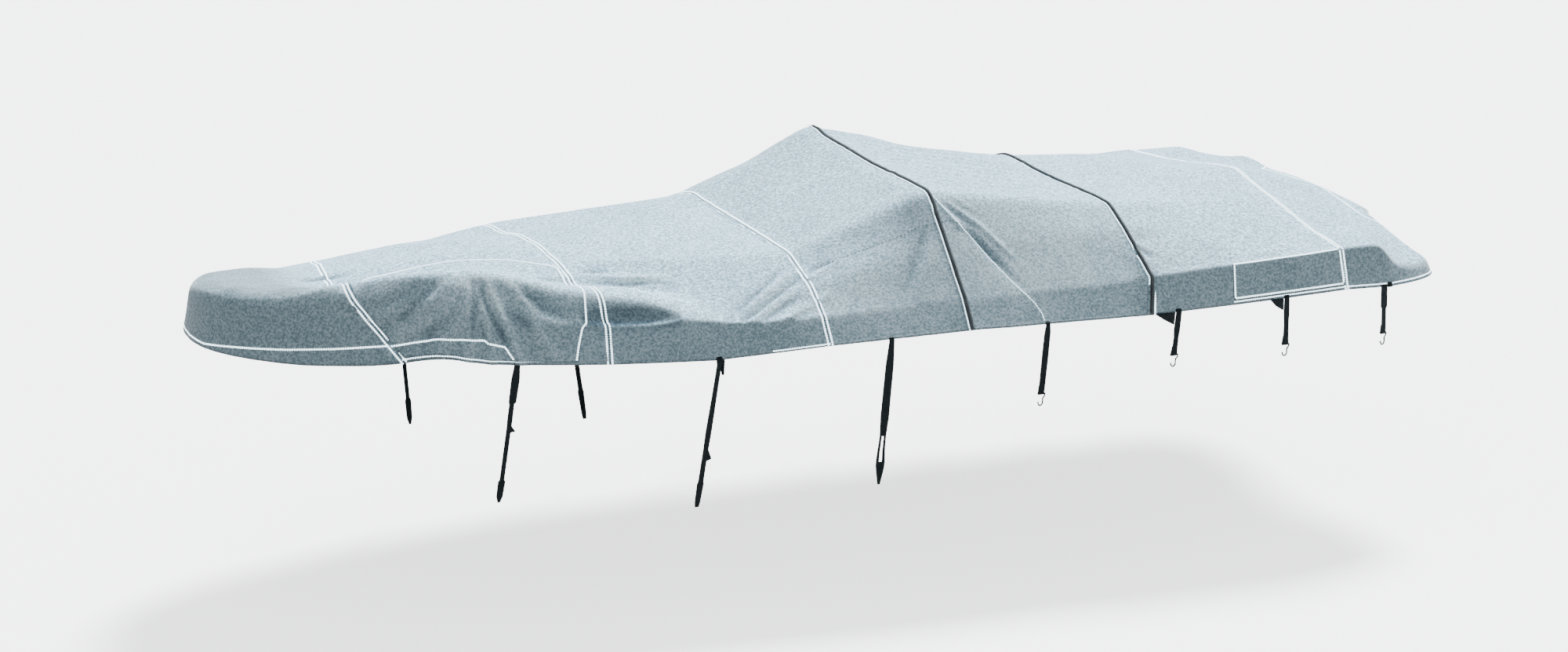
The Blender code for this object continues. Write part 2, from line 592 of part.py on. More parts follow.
def gusset_object(number, corners, side_name):
    """Flat piece of webbing sewn along the hem beside a strap."""
    side = SIDES[side_name]
    strap = STRAPS[number]
    frame = hem_frame(strap["x"], side)
    points = [strap_point(frame, along, -up, strap["lean"], strap["aft"]) for along, up in corners]
    face = (0, 1, 2, 3)
    normal = np.cross(points[1] - points[0], points[2] - points[0])
    if np.dot(normal[:2], frame[1]) < 0.0:
        face = face[::-1]
    return sheet_object(f"gusset_{side_name}_{number}", points, [face], WEBBING, BLACK_WEBBING)


for side_name in SIDES:
    for number, strap in STRAPS.items():
        strap_object(number, strap, side_name)
        if strap["hook"]:
            hook_object(number, strap, side_name)
    for number, corners in GUSSETS.items():
        gusset_object(number, corners, side_name)
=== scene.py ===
# %% [markdown]
# # Dressing a fitted boat cover
# The cover is a hollow shell of grey-blue canvas, sewn from seven panels, with second layers
# where it rubs, cord in two of its seams, white top stitching, and fourteen webbing straps.
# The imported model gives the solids.  This lesson makes a fine surface for each of them in the
# same place, then its stitches, then its finishes.

# %% Open the frame
import json
import math

import bpy
import numpy as np
from mathutils import Matrix, Vector

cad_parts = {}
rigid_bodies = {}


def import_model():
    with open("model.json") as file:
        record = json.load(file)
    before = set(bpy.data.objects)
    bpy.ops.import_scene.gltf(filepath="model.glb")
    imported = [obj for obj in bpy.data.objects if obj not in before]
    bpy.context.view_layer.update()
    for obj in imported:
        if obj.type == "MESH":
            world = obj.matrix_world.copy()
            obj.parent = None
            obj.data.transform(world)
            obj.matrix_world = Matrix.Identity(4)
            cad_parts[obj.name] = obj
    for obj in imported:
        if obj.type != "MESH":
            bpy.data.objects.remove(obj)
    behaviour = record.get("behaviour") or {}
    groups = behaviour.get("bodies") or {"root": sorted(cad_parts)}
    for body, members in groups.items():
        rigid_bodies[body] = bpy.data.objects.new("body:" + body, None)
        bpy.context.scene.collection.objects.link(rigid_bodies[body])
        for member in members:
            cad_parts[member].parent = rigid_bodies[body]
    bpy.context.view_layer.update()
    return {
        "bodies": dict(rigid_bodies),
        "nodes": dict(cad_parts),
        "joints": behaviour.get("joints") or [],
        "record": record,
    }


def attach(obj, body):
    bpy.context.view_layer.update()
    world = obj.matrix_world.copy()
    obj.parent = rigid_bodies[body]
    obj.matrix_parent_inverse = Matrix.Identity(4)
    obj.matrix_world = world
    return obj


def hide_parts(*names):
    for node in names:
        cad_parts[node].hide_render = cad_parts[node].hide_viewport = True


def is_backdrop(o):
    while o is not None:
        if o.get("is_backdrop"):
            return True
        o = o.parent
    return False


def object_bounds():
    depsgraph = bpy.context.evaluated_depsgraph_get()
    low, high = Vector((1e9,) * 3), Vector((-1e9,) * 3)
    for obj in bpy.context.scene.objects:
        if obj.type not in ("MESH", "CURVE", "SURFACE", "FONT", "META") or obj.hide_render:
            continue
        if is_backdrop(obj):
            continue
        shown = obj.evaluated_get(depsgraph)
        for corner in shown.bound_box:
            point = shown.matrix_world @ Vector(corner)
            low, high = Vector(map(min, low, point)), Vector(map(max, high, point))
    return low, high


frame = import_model()

# %% [markdown]
# ## Camera
# The camera stands some twenty metres off the port bow with a long lens, a little above the
# cover.  Its matrix is built from the directions it looks along, so nothing has to be aimed.

# %% Place the camera
CAMERA_AT = (-8.2104, -18.7086, 4.8442)
CAMERA_TURN = 22.5       # degrees to starboard of square on
CAMERA_DOWN = 15.5
CAMERA_ROLL = 0.3
LENS = 99.0
SENSOR = 36.0


def camera_matrix(place, turn, down, roll):
    """Columns right, up and back: back is against the view, right is level, then both roll."""
    a, b, c = np.radians((turn, down, roll))
    ahead = np.array((math.sin(a) * math.cos(b), math.cos(a) * math.cos(b), -math.sin(b)))
    level = np.array((math.cos(a), -math.sin(a), 0.0))
    up = np.cross(level, ahead)
    right = level * math.cos(c) + up * math.sin(c)
    up = up * math.cos(c) - level * math.sin(c)
    matrix = np.eye(4)
    matrix[:3, :4] = np.column_stack((right, up, -ahead, place))
    return Matrix(matrix.tolist())


camera = bpy.data.objects.new("camera", bpy.data.cameras.new("camera"))
bpy.context.scene.collection.objects.link(camera)
camera.data.lens = LENS
camera.data.sensor_width = SENSOR
camera.data.clip_end = 300.0
camera.matrix_world = camera_matrix(CAMERA_AT, CAMERA_TURN, CAMERA_DOWN, CAMERA_ROLL)
bpy.context.scene.camera = camera
print("camera", [round(v, 2) for v in camera.location])

# %% [markdown]
# ## Floor and light
# A pale floor lies where the ground is under a boat on its trailer.  One broad light comes from
# high on the starboard quarter, so the top is bright and the port skirt and the near side of
# every bulge are in shade, which is what makes the skirt's top edge read as an edge.  A
# parallel lamp with a wide angle gives soft shadows and the same strength all over the floor.
# The room is brighter overhead than below, so that folds still show where the lamp doesn't
# reach.  The floor gives off light, as a light table does, and is left out of diffuse bounces
# so that it doesn't lift the shade.

# %% Lay the floor and hang the lamps
FLOOR_AT = -1.678
FLOOR_SIZE = 140.0
KEY_FROM = (4.6, 6.0, 8.2)
KEY_STRENGTH = 13.2
KEY_ANGLE = 14.0
ROOM = ((0.0, 0.10), (0.44, 0.25), (0.60, 0.50), (1.0, 1.30))    # brightness, dark end to bright
ROOM_BRIGHT = (0.30, 0.0, 0.954)        # the way to its bright end: up, and somewhat aft


def principled(name, colour=(0.8, 0.8, 0.8), roughness=0.5, metallic=0.0):
    """A new material and its shader, with the values that are the same all over set on it."""
    finish = bpy.data.materials.new(name)
    finish.use_nodes = True
    shader = finish.node_tree.nodes["Principled BSDF"]
    shader.inputs["Base Color"].default_value = (*colour, 1.0)
    shader.inputs["Roughness"].default_value = roughness
    shader.inputs["Metallic"].default_value = metallic
    return finish, shader


half = FLOOR_SIZE / 2
floor_mesh = bpy.data.meshes.new("floor")
floor_mesh.from_pydata(
    [(x * half, y * half, FLOOR_AT) for x, y in ((-1, -1), (1, -1), (1, 1), (-1, 1))],
    [], [(0, 1, 2, 3)])
floor = bpy.data.objects.new("floor", floor_mesh)
bpy.context.scene.collection.objects.link(floor)
floor_finish, floor_shader = principled("pale_floor", (0.84, 0.85, 0.85), 0.9)
floor_shader.inputs["Emission Color"].default_value = (1.0, 1.0, 1.0, 1.0)
floor_shader.inputs["Emission Strength"].default_value = 2.0
floor_mesh.materials.append(floor_finish)
floor.visible_diffuse = False
floor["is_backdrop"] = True

key = bpy.data.objects.new("key", bpy.data.lights.new("key", "SUN"))
key.data.energy = KEY_STRENGTH
key.data.angle = math.radians(KEY_ANGLE)
key.data.color = (0.93, 0.985, 1.0)
key.location = KEY_FROM
key.rotation_euler = Vector(KEY_FROM).to_track_quat("Z", "Y").to_euler()
bpy.context.scene.collection.objects.link(key)
room = bpy.data.worlds.new("room")
room.use_nodes = True
tree = room.node_tree
up = tree.nodes.new("ShaderNodeVectorMath")
up.operation = "DOT_PRODUCT"
up.inputs[1].default_value = ROOM_BRIGHT
shades = tree.nodes.new("ShaderNodeValToRGB")
half_up = tree.nodes.new("ShaderNodeMath")
half_up.operation = "MULTIPLY_ADD"
half_up.inputs[1].default_value = half_up.inputs[2].default_value = 0.5
for position, level in ROOM[1:-1]:
    shades.color_ramp.elements.new(position)
for element, (position, level) in zip(shades.color_ramp.elements, ROOM):
    element.position = position
    element.color = (0.88 * level, 0.95 * level, 1.0 * level, 1.0)
tree.links.new(tree.nodes.new("ShaderNodeTexCoord").outputs["Generated"], up.inputs[0])
tree.links.new(up.outputs["Value"], half_up.inputs[0])
tree.links.new(half_up.outputs[0], shades.inputs[0])
tree.links.new(shades.outputs[0], tree.nodes["Background"].inputs["Color"])
bpy.context.scene.world = room
print("floor at", FLOOR_AT)

# %% [markdown]
# ## The shape the boat gives the cloth
# The cloth is pulled taut from one support to the next: bow rail, console, windscreen, cockpit
# sides, engine.  So the top is a table of stations along the boat, each a line of straight
# runs across it, with one ridge to each side for what the two sides don't share.  Heights are
# above the level hem line.
#
# The tables are the solids' own but for these, which the solids don't have.  The port ridge is
# up to 4 cm further out, up to 3 cm higher and sharper.  The cloth rounds its supports less.
# From the mid deck to the cockpit the skirt's top edge hangs lower and the skirt flares, and at
# the port quarter the edge hangs lower too.  So the cloth lies up to 5 cm from the solids along
# the sides, and up to 8 cm at the port quarter.

# %% State the boat's measures
BOW_X = -3.428
STERN_X = 2.600
WIDEST_X = 0.30
HALF_BEAM = 1.19
BOW_POWER = (1.80, 0.42)
STERN_POWER = (6.0, 0.070)
HELD_HEIGHT = 0.5475     # from the hem line up to the origin
CLOTH = 0.002
PATCH = 0.0015
WEBBING = 0.0018
GAP = 0.0003
LAYER_GAP = 0.0006
WIRE_RADIUS = 0.0034
CORNER_TUCK = 0.055
EASE = 0.034
HEM_PINCH = (-2.47, 0.15, 0.026)     # the port hem is drawn up at x, over a reach, by a height
NOTCH_HALF, NOTCH_EDGE, NOTCH_HEIGHT, NOTCH_REACH = 0.30, 0.07, 0.150, 0.10

# Where each seam crosses the centreline, and how far aft of that it meets the skirt's top
# edge to port, that edge to starboard, and the hem.
SEAMS = {
    "bow": (-2.775, -0.095, 0.120, 0.145),
    "bump": (-1.730, 0.000, 0.000, 0.000),
    "screen_foot": (-0.700, -0.010, -0.010, 0.000),
    "screen_top": (0.000, 0.000, 0.000, 0.000),
    "cockpit": (0.905, 0.060, 0.060, 0.025),
    "rear": (1.990, -0.005, -0.005, 0.000),
}

STATION_COLUMNS = ("x", "hem", "inset", "half", "edge", "y2", "z2", "y1", "z1", "crown")
STATIONS = (
    (-3.44, 0.020, 0.032, 0.24, 0.200, 0.17, 0.222, 0.10, 0.240, 0.246),
    (-3.30, 0.012, 0.042, 0.42, 0.190, 0.30, 0.240, 0.18, 0.268, 0.276),
    (-3.05, 0.000, 0.055, 0.56, 0.165, 0.42, 0.215, 0.25, 0.258, 0.270),
    (-2.82, 0.004, 0.060, 0.65, 0.140, 0.50, 0.172, 0.30, 0.212, 0.248),
    (-2.60, 0.012, 0.062, 0.72, 0.135, 0.56, 0.168, 0.34, 0.228, 0.270),
    (-2.20, 0.000, 0.062, 0.85, 0.140, 0.66, 0.186, 0.38, 0.268, 0.300),
    (-1.73, -0.020, 0.062, 0.95, 0.135, 0.66, 0.205, 0.30, 0.280, 0.304),
    (-1.25, -0.030, 0.062, 1.03, 0.118, 0.76, 0.195, 0.42, 0.293, 0.308),
    (-0.70, 0.000, 0.062, 1.08, 0.125, 0.90, 0.226, 0.62, 0.313, 0.315),
    (-0.05, 0.014, 0.062, 1.12, 0.142, 0.87, 0.358, 0.67, 0.560, 0.550),
    (0.05, 0.014, 0.062, 1.12, 0.142, 0.87, 0.358, 0.67, 0.557, 0.546),
    (0.93, -0.004, 0.062, 1.13, 0.158, 0.86, 0.335, 0.69, 0.423, 0.425),
    (1.40, 0.002, 0.062, 1.13, 0.180, 0.85, 0.285, 0.56, 0.365, 0.395),
    (1.99, 0.014, 0.062, 1.12, 0.203, 0.84, 0.226, 0.46, 0.286, 0.360),
    (2.26, 0.000, 0.062, 1.10, 0.207, 0.80, 0.205, 0.44, 0.240, 0.285),
    (2.57, 0.005, 0.085, 1.07, 0.080, 0.72, 0.110, 0.36, 0.188, 0.195),
)

RIDGE_COLUMNS = ("x", "y", "inner", "outer", "rise")
PORT_RIDGE = (
    (-3.42, -0.15, 0.26, 0.15, 0.030),
    (-3.30, -0.42, 0.26, 0.15, 0.070),
    (-3.15, -0.52, 0.26, 0.15, 0.110),
    (-3.01, -0.55, 0.26, 0.15, 0.145),
    (-2.82, -0.605, 0.26, 0.13, 0.200),
    (-2.62, -0.675, 0.27, 0.105, 0.255),
    (-2.42, -0.705, 0.27, 0.095, 0.242),
    (-2.27, -0.720, 0.27, 0.090, 0.225),
    (-2.07, -0.760, 0.27, 0.075, 0.178),
    (-1.88, -0.815, 0.25, 0.060, 0.130),
    (-1.75, -0.845, 0.23, 0.055, 0.115),
    (-1.52, -0.895, 0.20, 0.060, 0.078),
    (-1.35, -0.965, 0.18, 0.090, 0.040),
    (-1.10, -1.00, 0.18, 0.15, 0.000),
)
STARBOARD_RIDGE = (
    (-2.00, 0.78, 0.20, 0.30, 0.000),
    (-1.65, 0.80, 0.20, 0.30, 0.048),
    (-1.20, 0.82, 0.20, 0.30, 0.058),
    (-0.75, 0.82, 0.18, 0.22, 0.020),
    (-0.35, 0.82, 0.12, 0.14, 0.058),
    (-0.12, 0.81, 0.11, 0.13, 0.112),
    (0.00, 0.81, 0.10, 0.12, 0.140),
    (0.15, 0.79, 0.12, 0.14, 0.040),
    (0.45, 0.72, 0.16, 0.18, -0.058),
    (0.93, 0.72, 0.20, 0.20, -0.080),
    (1.30, 0.72, 0.20, 0.20, -0.032),
    (1.60, 0.80, 0.20, 0.25, 0.010),
    (1.90, 0.90, 0.20, 0.25, 0.010),
    (2.18, 0.88, 0.20, 0.25, 0.000),
    (2.36, 0.84, 0.20, 0.25, 0.012),
    (2.46, 0.80, 0.22, 0.28, 0.045),
    (2.57, 0.78, 0.25, 0.30, 0.098),
)


def column(table, names, name, x):
    """One column of a table, read along its x column."""
    rows = np.array(table)
    return np.interp(x, rows[:, names.index("x")], rows[:, names.index(name)])


# Slack that the skirt's top edge has beside the cockpit, and at the port quarter, as drops.
SLACK = ((-1.00, -0.62, 0.88, 0.97), (0.0, 0.030, 0.048, 0.0))
PORT_SLACK = ((2.20, 2.30, 2.44, 2.57), (0.0, 0.105, 0.070, 0.0))


def taut_height(x, y):
    """Straight from crown to inner shoulder, to outer shoulder, to the skirt's top edge."""
    level = {name: column(STATIONS, STATION_COLUMNS, name, x) for name in STATION_COLUMNS}
    level["edge"] = (level["edge"] - np.interp(x, *SLACK)
                     - (y < 0.0) * np.interp(x, *PORT_SLACK))
    reach = np.abs(y)
    inner = level["crown"] + (level["z1"] - level["crown"]) * reach / level["y1"]
    middle = level["z1"] + ((level["z2"] - level["z1"]) * (reach - level["y1"])
                            / (level["y2"] - level["y1"]))
    share = np.clip((reach - level["y2"]) / (level["half"] - level["y2"]), 0.0, 1.0)
    outer = level["z2"] + (level["edge"] - level["z2"]) * share
    return np.where(reach < level["y1"], inner, np.where(reach < level["y2"], middle, outer))


def ridge_height(ridge, x, y):
    """rise * exp(-(distance from the ridge's line / width) ** power), one width to each side.

    The power is 2, a round back, but less outside the line to port, which makes a sharper brow."""
    level = {name: column(ridge, RIDGE_COLUMNS, name, x) for name in RIDGE_COLUMNS}
    inside = np.abs(y) < np.abs(level["y"])
    width = np.where(inside, level["inner"], level["outer"])
    power = np.where(inside | (y > 0.0), 2.0, 1.20)
    return level["rise"] * np.exp(-(np.abs(y - level["y"]) / width) ** power)


print(len(STATIONS), "stations,", len(SEAMS), "cross seams")

# %% [markdown]
# ## Rounding the taut shape
# Real canvas has some stiffness, so it rounds each support instead of creasing over it.  The
# height is worked out once on an even lattice over the plan, averaged over the reach of that
# rounding, and then read back anywhere with a smooth cubic, so that fine meshes show no facets.

# %% Average the top on a lattice
LATTICE = 0.010
LATTICE_X = np.arange(-3.60, 2.80, LATTICE)
LATTICE_Y = np.arange(-1.36, 1.36 + LATTICE / 2, LATTICE)
SMOOTH = 0.020           # a second, shorter average that takes the kinks out of the first


def box_average(values, reach):
    """Mean over a square window of the lattice, as two running means one after the other."""
    steps = int(round(reach / LATTICE))
    for axis in (0, 1):
        total = np.zeros_like(values)
        for shift in range(-steps, steps + 1):
            total += np.roll(values, shift, axis=axis)
        values = total / (2 * steps + 1)
    return values


plan_x, plan_y = np.meshgrid(LATTICE_X, LATTICE_Y, indexing="ij")
top_lattice = (taut_height(plan_x, plan_y) + ridge_height(PORT_RIDGE, plan_x, plan_y)
               + ridge_height(STARBOARD_RIDGE, plan_x, plan_y))
top_lattice = box_average(box_average(top_lattice, EASE), SMOOTH)


def cubic_weights(share):
    """The four Catmull-Rom weights at a share of the way from the second to the third."""
    s, s2, s3 = share, share ** 2, share ** 3
    return (0.5 * (-s + 2 * s2 - s3), 0.5 * (2 - 5 * s2 + 3 * s3),
            0.5 * (s + 4 * s2 - 3 * s3), 0.5 * (s3 - s2))


def top_height(x, y):
    """The lattice read at any place: the sum of its sixteen nearest heights times weights."""
    u = (x - LATTICE_X[0]) / LATTICE
    v = (y - LATTICE_Y[0]) / LATTICE
    i = np.clip(u.astype(int), 1, len(LATTICE_X) - 3)
    j = np.clip(v.astype(int), 1, len(LATTICE_Y) - 3)
    total = 0.0
    for a, wa in enumerate(cubic_weights(u - i)):
        for b, wb in enumerate(cubic_weights(v - j)):
            total = total + wa * wb * top_lattice[i + a - 1, j + b - 1]
    return total


print("lattice", top_lattice.shape, "crown", round(float(top_lattice.max()), 3))

# %% [markdown]
# ## The hem, and ribs up from it
# The hem's plan is a superellipse at each end: a rounded bow and a square stern.  From any
# point of the centreline a rib of cloth runs out over the deck to the skirt's top edge, rounds
# that edge, and drops down the skirt to the hem.  Every panel is a row of such ribs.

# %% Draw the hem and the ribs
EDGE_ROUND = ((-3.43, -2.80, -2.10, -1.30, 0.90, 2.00, 2.35, 2.60),     # at these x, the cloth
              (0.075, 0.055, 0.028, 0.014, 0.014, 0.014, 0.026, 0.040))  # rounds the edge so far
BEND_STEPS = 9
SKIRT_FLARE = ((-1.00, -0.62, -0.10, 0.90, 0.99), (0.0, 0.026, 0.040, 0.040, 0.0))


def hem_plan(angle, forward):
    """Hem in plan.  x = widest + reach * |cos a| ** (2 / power); y = beam * |sin a| ** (2 s)."""
    power = np.where(forward, BOW_POWER[0], STERN_POWER[0])
    spread = np.where(forward, BOW_POWER[1], STERN_POWER[1])
    reach = np.where(forward, BOW_X, STERN_X) - WIDEST_X
    x = WIDEST_X + reach * np.abs(np.cos(angle)) ** (2.0 / power)
    y = HALF_BEAM * np.sign(angle) * np.abs(np.sin(angle)) ** (2.0 * spread)
    return np.stack((x, y), axis=-1)


def hem_angle(x, forward):
    """The hem point's angle from its x, the first formula above turned round."""
    power = np.where(forward, BOW_POWER[0], STERN_POWER[0])
    reach = np.where(forward, BOW_X, STERN_X) - WIDEST_X
    return np.arccos(np.clip(((x - WIDEST_X) / reach), 0.0, 1.0) ** (power / 2.0))


def plan_outward(angle, forward):
    """Square to the hem in plan: its direction turned a quarter, outwards."""
    step = 1e-3
    along = hem_plan(angle + step, forward) - hem_plan(angle - step, forward)
    along /= np.linalg.norm(along, axis=-1, keepdims=True)
    outward = np.stack((along[..., 1], -along[..., 0]), axis=-1)
    return np.where(np.asarray(forward)[..., None], -outward, outward)


def hem_height(x, y):
    """The hem line from the stations, raised to the cut-out's top by a smooth step."""
    level = column(STATIONS, STATION_COLUMNS, "hem", x)
    level = level + (y < 0.0) * HEM_PINCH[2] * np.exp(-((x - HEM_PINCH[0]) / HEM_PINCH[1]) ** 2)
    share = np.clip((NOTCH_HALF + NOTCH_EDGE - np.abs(y)) / NOTCH_EDGE, 0.0, 1.0)
    share = share * share * (3.0 - 2.0 * share) * (x > STERN_X - NOTCH_REACH)
    return level + (NOTCH_HEIGHT - level) * share


def skirt_lines(edge_angle, edge_forward, turn, turn_forward):
    """For each rib: skirt's top edge and hem as points, and the outward direction in plan."""
    hem = hem_plan(turn, turn_forward)
    outward = plan_outward(edge_angle, edge_forward)
    above = hem_plan(edge_angle, edge_forward)
    inset = column(STATIONS, STATION_COLUMNS, "inset", above[..., 0])
    tuck = CORNER_TUCK * 2.0 * np.abs(outward[..., 0] * outward[..., 1])
    inset = inset - np.where(edge_forward, 0.0, tuck) + np.interp(above[:, 0], *SKIRT_FLARE)
    edge = above - inset[..., None] * outward
    edge = np.column_stack((edge, top_height(edge[:, 0], edge[:, 1])))
    hem = np.column_stack((hem, hem_height(hem[:, 0], hem[:, 1])))
    return edge, hem, outward


def rib_grid(root, edge, hem, deck_count, skirt_count):
    """Ribs as a grid: deck out to the bend, a quadratic curve round the edge, skirt down.

    The bend is (1-t)^2 a + 2t(1-t) c + t^2 b, from a on the deck to b on the skirt, pulled
    towards the corner c."""
    run = edge[:, :2] - root[:, :2]
    long = np.linalg.norm(run, axis=1, keepdims=True)
    bend = np.interp(edge[:, :1], *EDGE_ROUND)
    shares = np.linspace(0.0, 1.0, deck_count) * (1.0 - bend / long)
    plan = root[:, None, :2] + shares[:, :, None] * run[:, None, :]
    deck = np.concatenate((plan, top_height(plan[..., 0], plan[..., 1])[..., None]), axis=2)
    drop = hem - edge
    fall = np.linalg.norm(drop, axis=1, keepdims=True)
    below = edge + drop * bend / fall
    t = np.linspace(0.0, 1.0, BEND_STEPS)[1:, None]
    last = deck[:, -1:]
    bend = (1 - t) ** 2 * last + 2 * t * (1 - t) * edge[:, None] + t ** 2 * below[:, None]
    s = np.linspace(0.0, 1.0, skirt_count)[1:, None]
    skirt = below[:, None] + s * (hem - below)[:, None]
    return np.concatenate((deck, bend, skirt), axis=1)


print("hem is", round(2 * HALF_BEAM, 3), "m wide and", round(STERN_X - BOW_X, 3), "m long")

# %% [markdown]
# ## Ribs of each panel
# A cross panel has ribs that cross the whole cover, from port hem to starboard hem.  The bow
# and stern panels are fans: their ribs start from the seam's middle and go round the end.
# Rows lie closer beside a seam, where the sewing gathers the cloth.

# %% Work out the panels' grids
PANELS = {   # first seam, last seam, spacing of ribs, spacing along them
    "foredeck": ("bow", "bump", 0.0105, 0.0105),
    "middeck": ("bump", "screen_foot", 0.0100, 0.0105),
    "screen": ("screen_foot", "screen_top", 0.011, 0.011),
    "cockpit": ("screen_top", "cockpit", 0.0100, 0.0095),
    "rear": ("cockpit", "rear", 0.0125, 0.0125),
}
FANS = {"bow": ("bow", 0.014, 0.014), "stern": ("rear", 0.015, 0.015)}
SEAM_STEPS = (0.0, 0.0015, 0.004, 0.008, 0.013, 0.019, 0.026)
SKIRT_SPACING = 0.009
CROSS_SKIRT, FAN_SKIRT = 0.16, 0.20      # length of skirt that its columns are counted for


def cross_ribs(x, sweeps, side, deck_count, skirt_count):
    """Ribs of one side (-1 port, 1 starboard) at each x, whose ends are swept aft."""
    sweep = sweeps[:, 0] if side < 0 else sweeps[:, 1]
    edge_x, turn_x = x + sweep, x + sweeps[:, 2]
    ahead, turn_ahead = edge_x < WIDEST_X, turn_x < WIDEST_X
    edge, hem, outward = skirt_lines(side * hem_angle(edge_x, ahead), ahead,
                                     side * hem_angle(turn_x, turn_ahead), turn_ahead)
    root = np.column_stack((x, np.zeros_like(x)))
    return rib_grid(root, edge, hem, deck_count, skirt_count), outward


def deck_shares(deck_count, total):
    """Share of the way out over the deck of each point of a rib, 1 from the bend on."""
    return np.concatenate((np.linspace(0.0, 1.0, deck_count), np.ones(total - deck_count)))


def panel_grid(first, last, row_step, column_step):
    """Both sides' ribs joined at the centreline, port hem first."""
    start, finish = np.array(SEAMS[first]), np.array(SEAMS[last])
    low, high = start[0] + GAP / 2, finish[0] - GAP / 2
    near, far = low + np.array(SEAM_STEPS), high - np.array(SEAM_STEPS)[::-1]
    count = int(round((far[0] - near[-1]) / row_step))
    x = np.concatenate((near, np.linspace(near[-1], far[0], count + 1)[1:-1], far))
    shares = (x - start[0]) / (finish[0] - start[0])
    sweeps = start[1:] + shares[:, None] * (finish[1:] - start[1:])
    deck_count = int(round(HALF_BEAM / column_step))
    skirt_count = int(round(CROSS_SKIRT / SKIRT_SPACING))
    port, port_out = cross_ribs(x, sweeps, -1.0, deck_count, skirt_count)
    starboard, starboard_out = cross_ribs(x, sweeps, 1.0, deck_count, skirt_count)
    grid = np.concatenate((port[:, ::-1], starboard[:, 1:]), axis=1)
    middle = port.shape[1] - 1
    share = deck_shares(deck_count, middle + 1)
    is_port = np.arange(grid.shape[1]) < middle
    out = np.where(is_port[None, :, None], port_out[:, None], starboard_out[:, None])
    return dict(x=x, grid=grid, share=np.concatenate((share[::-1], share[1:])), out=out,
                port=is_port[None, :] * np.ones((len(x), 1)), skirt=skirt_count)


def even_angles(forward, first, last, count):
    """Angles evenly spaced along the hem round one end, sampled closest near the corners."""
    spread = (BOW_POWER if forward else STERN_POWER)[1]
    share = np.linspace(-1.0, 1.0, 4001)
    fine = np.where(share < 0.0, first, last) * np.abs(share) ** max(1.0, 0.5 / spread)
    line = hem_plan(fine, np.full(fine.shape, forward))
    run = np.concatenate(((0.0,), np.cumsum(np.linalg.norm(np.diff(line, axis=0), axis=1))))
    return np.interp(np.linspace(0.0, run[-1], count), run, fine), run[-1]


def fan_grid(forward, seam, row_step, column_step):
    """Ribs from the seam's middle out to points evenly spaced round the end."""
    x, port_sweep, starboard_sweep, hem_sweep = SEAMS[seam]
    root_x = x - GAP if forward else x + GAP
    port, starboard, turn = (float(hem_angle(root_x + sweep, forward))
                             for sweep in (port_sweep, starboard_sweep, hem_sweep))
    length = even_angles(forward, -turn, turn, 3)[1]
    count = int(round(length / row_step))
    edges = even_angles(forward, -port, starboard, count)[0]
    turns = even_angles(forward, -turn, turn, count)[0]
    ahead = np.full(count, forward)
    edge, hem, outward = skirt_lines(edges, ahead, turns, ahead)
    root = np.column_stack((np.full(count, root_x), np.zeros(count)))
    deck_count = int(round(HALF_BEAM / column_step))
    skirt_count = int(round(FAN_SKIRT / SKIRT_SPACING))
    grid = rib_grid(root, edge, hem, deck_count, skirt_count)
    is_port = (turns < 0.0)[:, None] * np.ones((1, grid.shape[1]))
    return dict(grid=grid, share=deck_shares(deck_count, grid.shape[1]), skirt=skirt_count,
                out=np.repeat(outward[:, None], grid.shape[1], axis=1), port=is_port)


cloth = {}
for name, (first, last, row_step, column_step) in PANELS.items():
    cloth[name] = panel_grid(first, last, row_step, column_step)
    print("panel", name, cloth[name]["grid"].shape[:2])
for name, (seam, row_step, column_step) in FANS.items():
    cloth[name] = fan_grid(name == "bow", seam, row_step, column_step)
    print("fan", name, cloth[name]["grid"].shape[:2])

# %% [markdown]
# ## Folds
# A taut cover still folds where it is pulled: down from the raised bow gear to the hem, along
# the top between supports, and at the windscreen's corners.  A fold is a soft ridge (or, below
# zero, a trough) along a line, that fades at both ends.  Those on top are the solids' own.  Of
# those down the port side, the seven at the bow gear start 2 to 3 cm higher than the solids'
# and rise 2 to 3 mm more.

# %% State the large folds
FOLD_GROWTH = 0.35
FOLD_ROOT = 0.15
SIDE_FOLD_UP = 0.12
SIDE_FOLD_FADE = 6
SIDE_FOLDS = (           # in side view: (x, height), (x, height), width, rise
    (-2.27, 0.36, -2.76, 0.21, 0.030, 0.011),
    (-2.26, 0.36, -2.66, 0.11, 0.028, 0.012),
    (-2.26, 0.36, -2.47, 0.07, 0.026, 0.014),
    (-2.25, 0.36, -2.36, 0.02, 0.024, 0.014),
    (-2.25, 0.36, -2.26, 0.00, 0.024, 0.015),
    (-2.23, 0.36, -2.13, 0.00, 0.026, 0.015),
    (-2.12, 0.31, -1.98, 0.02, 0.033, 0.009),
    (-0.62, 0.28, -0.98, 0.10, 0.030, 0.006),
    (-0.64, 0.24, -0.82, 0.08, 0.030, 0.005),
)
TOP_FOLDS = (            # in plan: (x, y), (x, y), width, rise
    (-3.15, -0.22, -2.70, -0.22, 0.040, -0.010),
    (-2.95, -0.10, -2.60, -0.14, 0.035, 0.006),
    (-1.95, -0.45, -1.35, -0.66, 0.060, -0.022),
    (-1.70, -0.30, -1.25, -0.45, 0.060, 0.008),
    (0.88, -0.95, 1.20, -0.86, 0.040, -0.006),
    (2.16, -1.02, 2.30, -1.02, 0.050, 0.008),
)


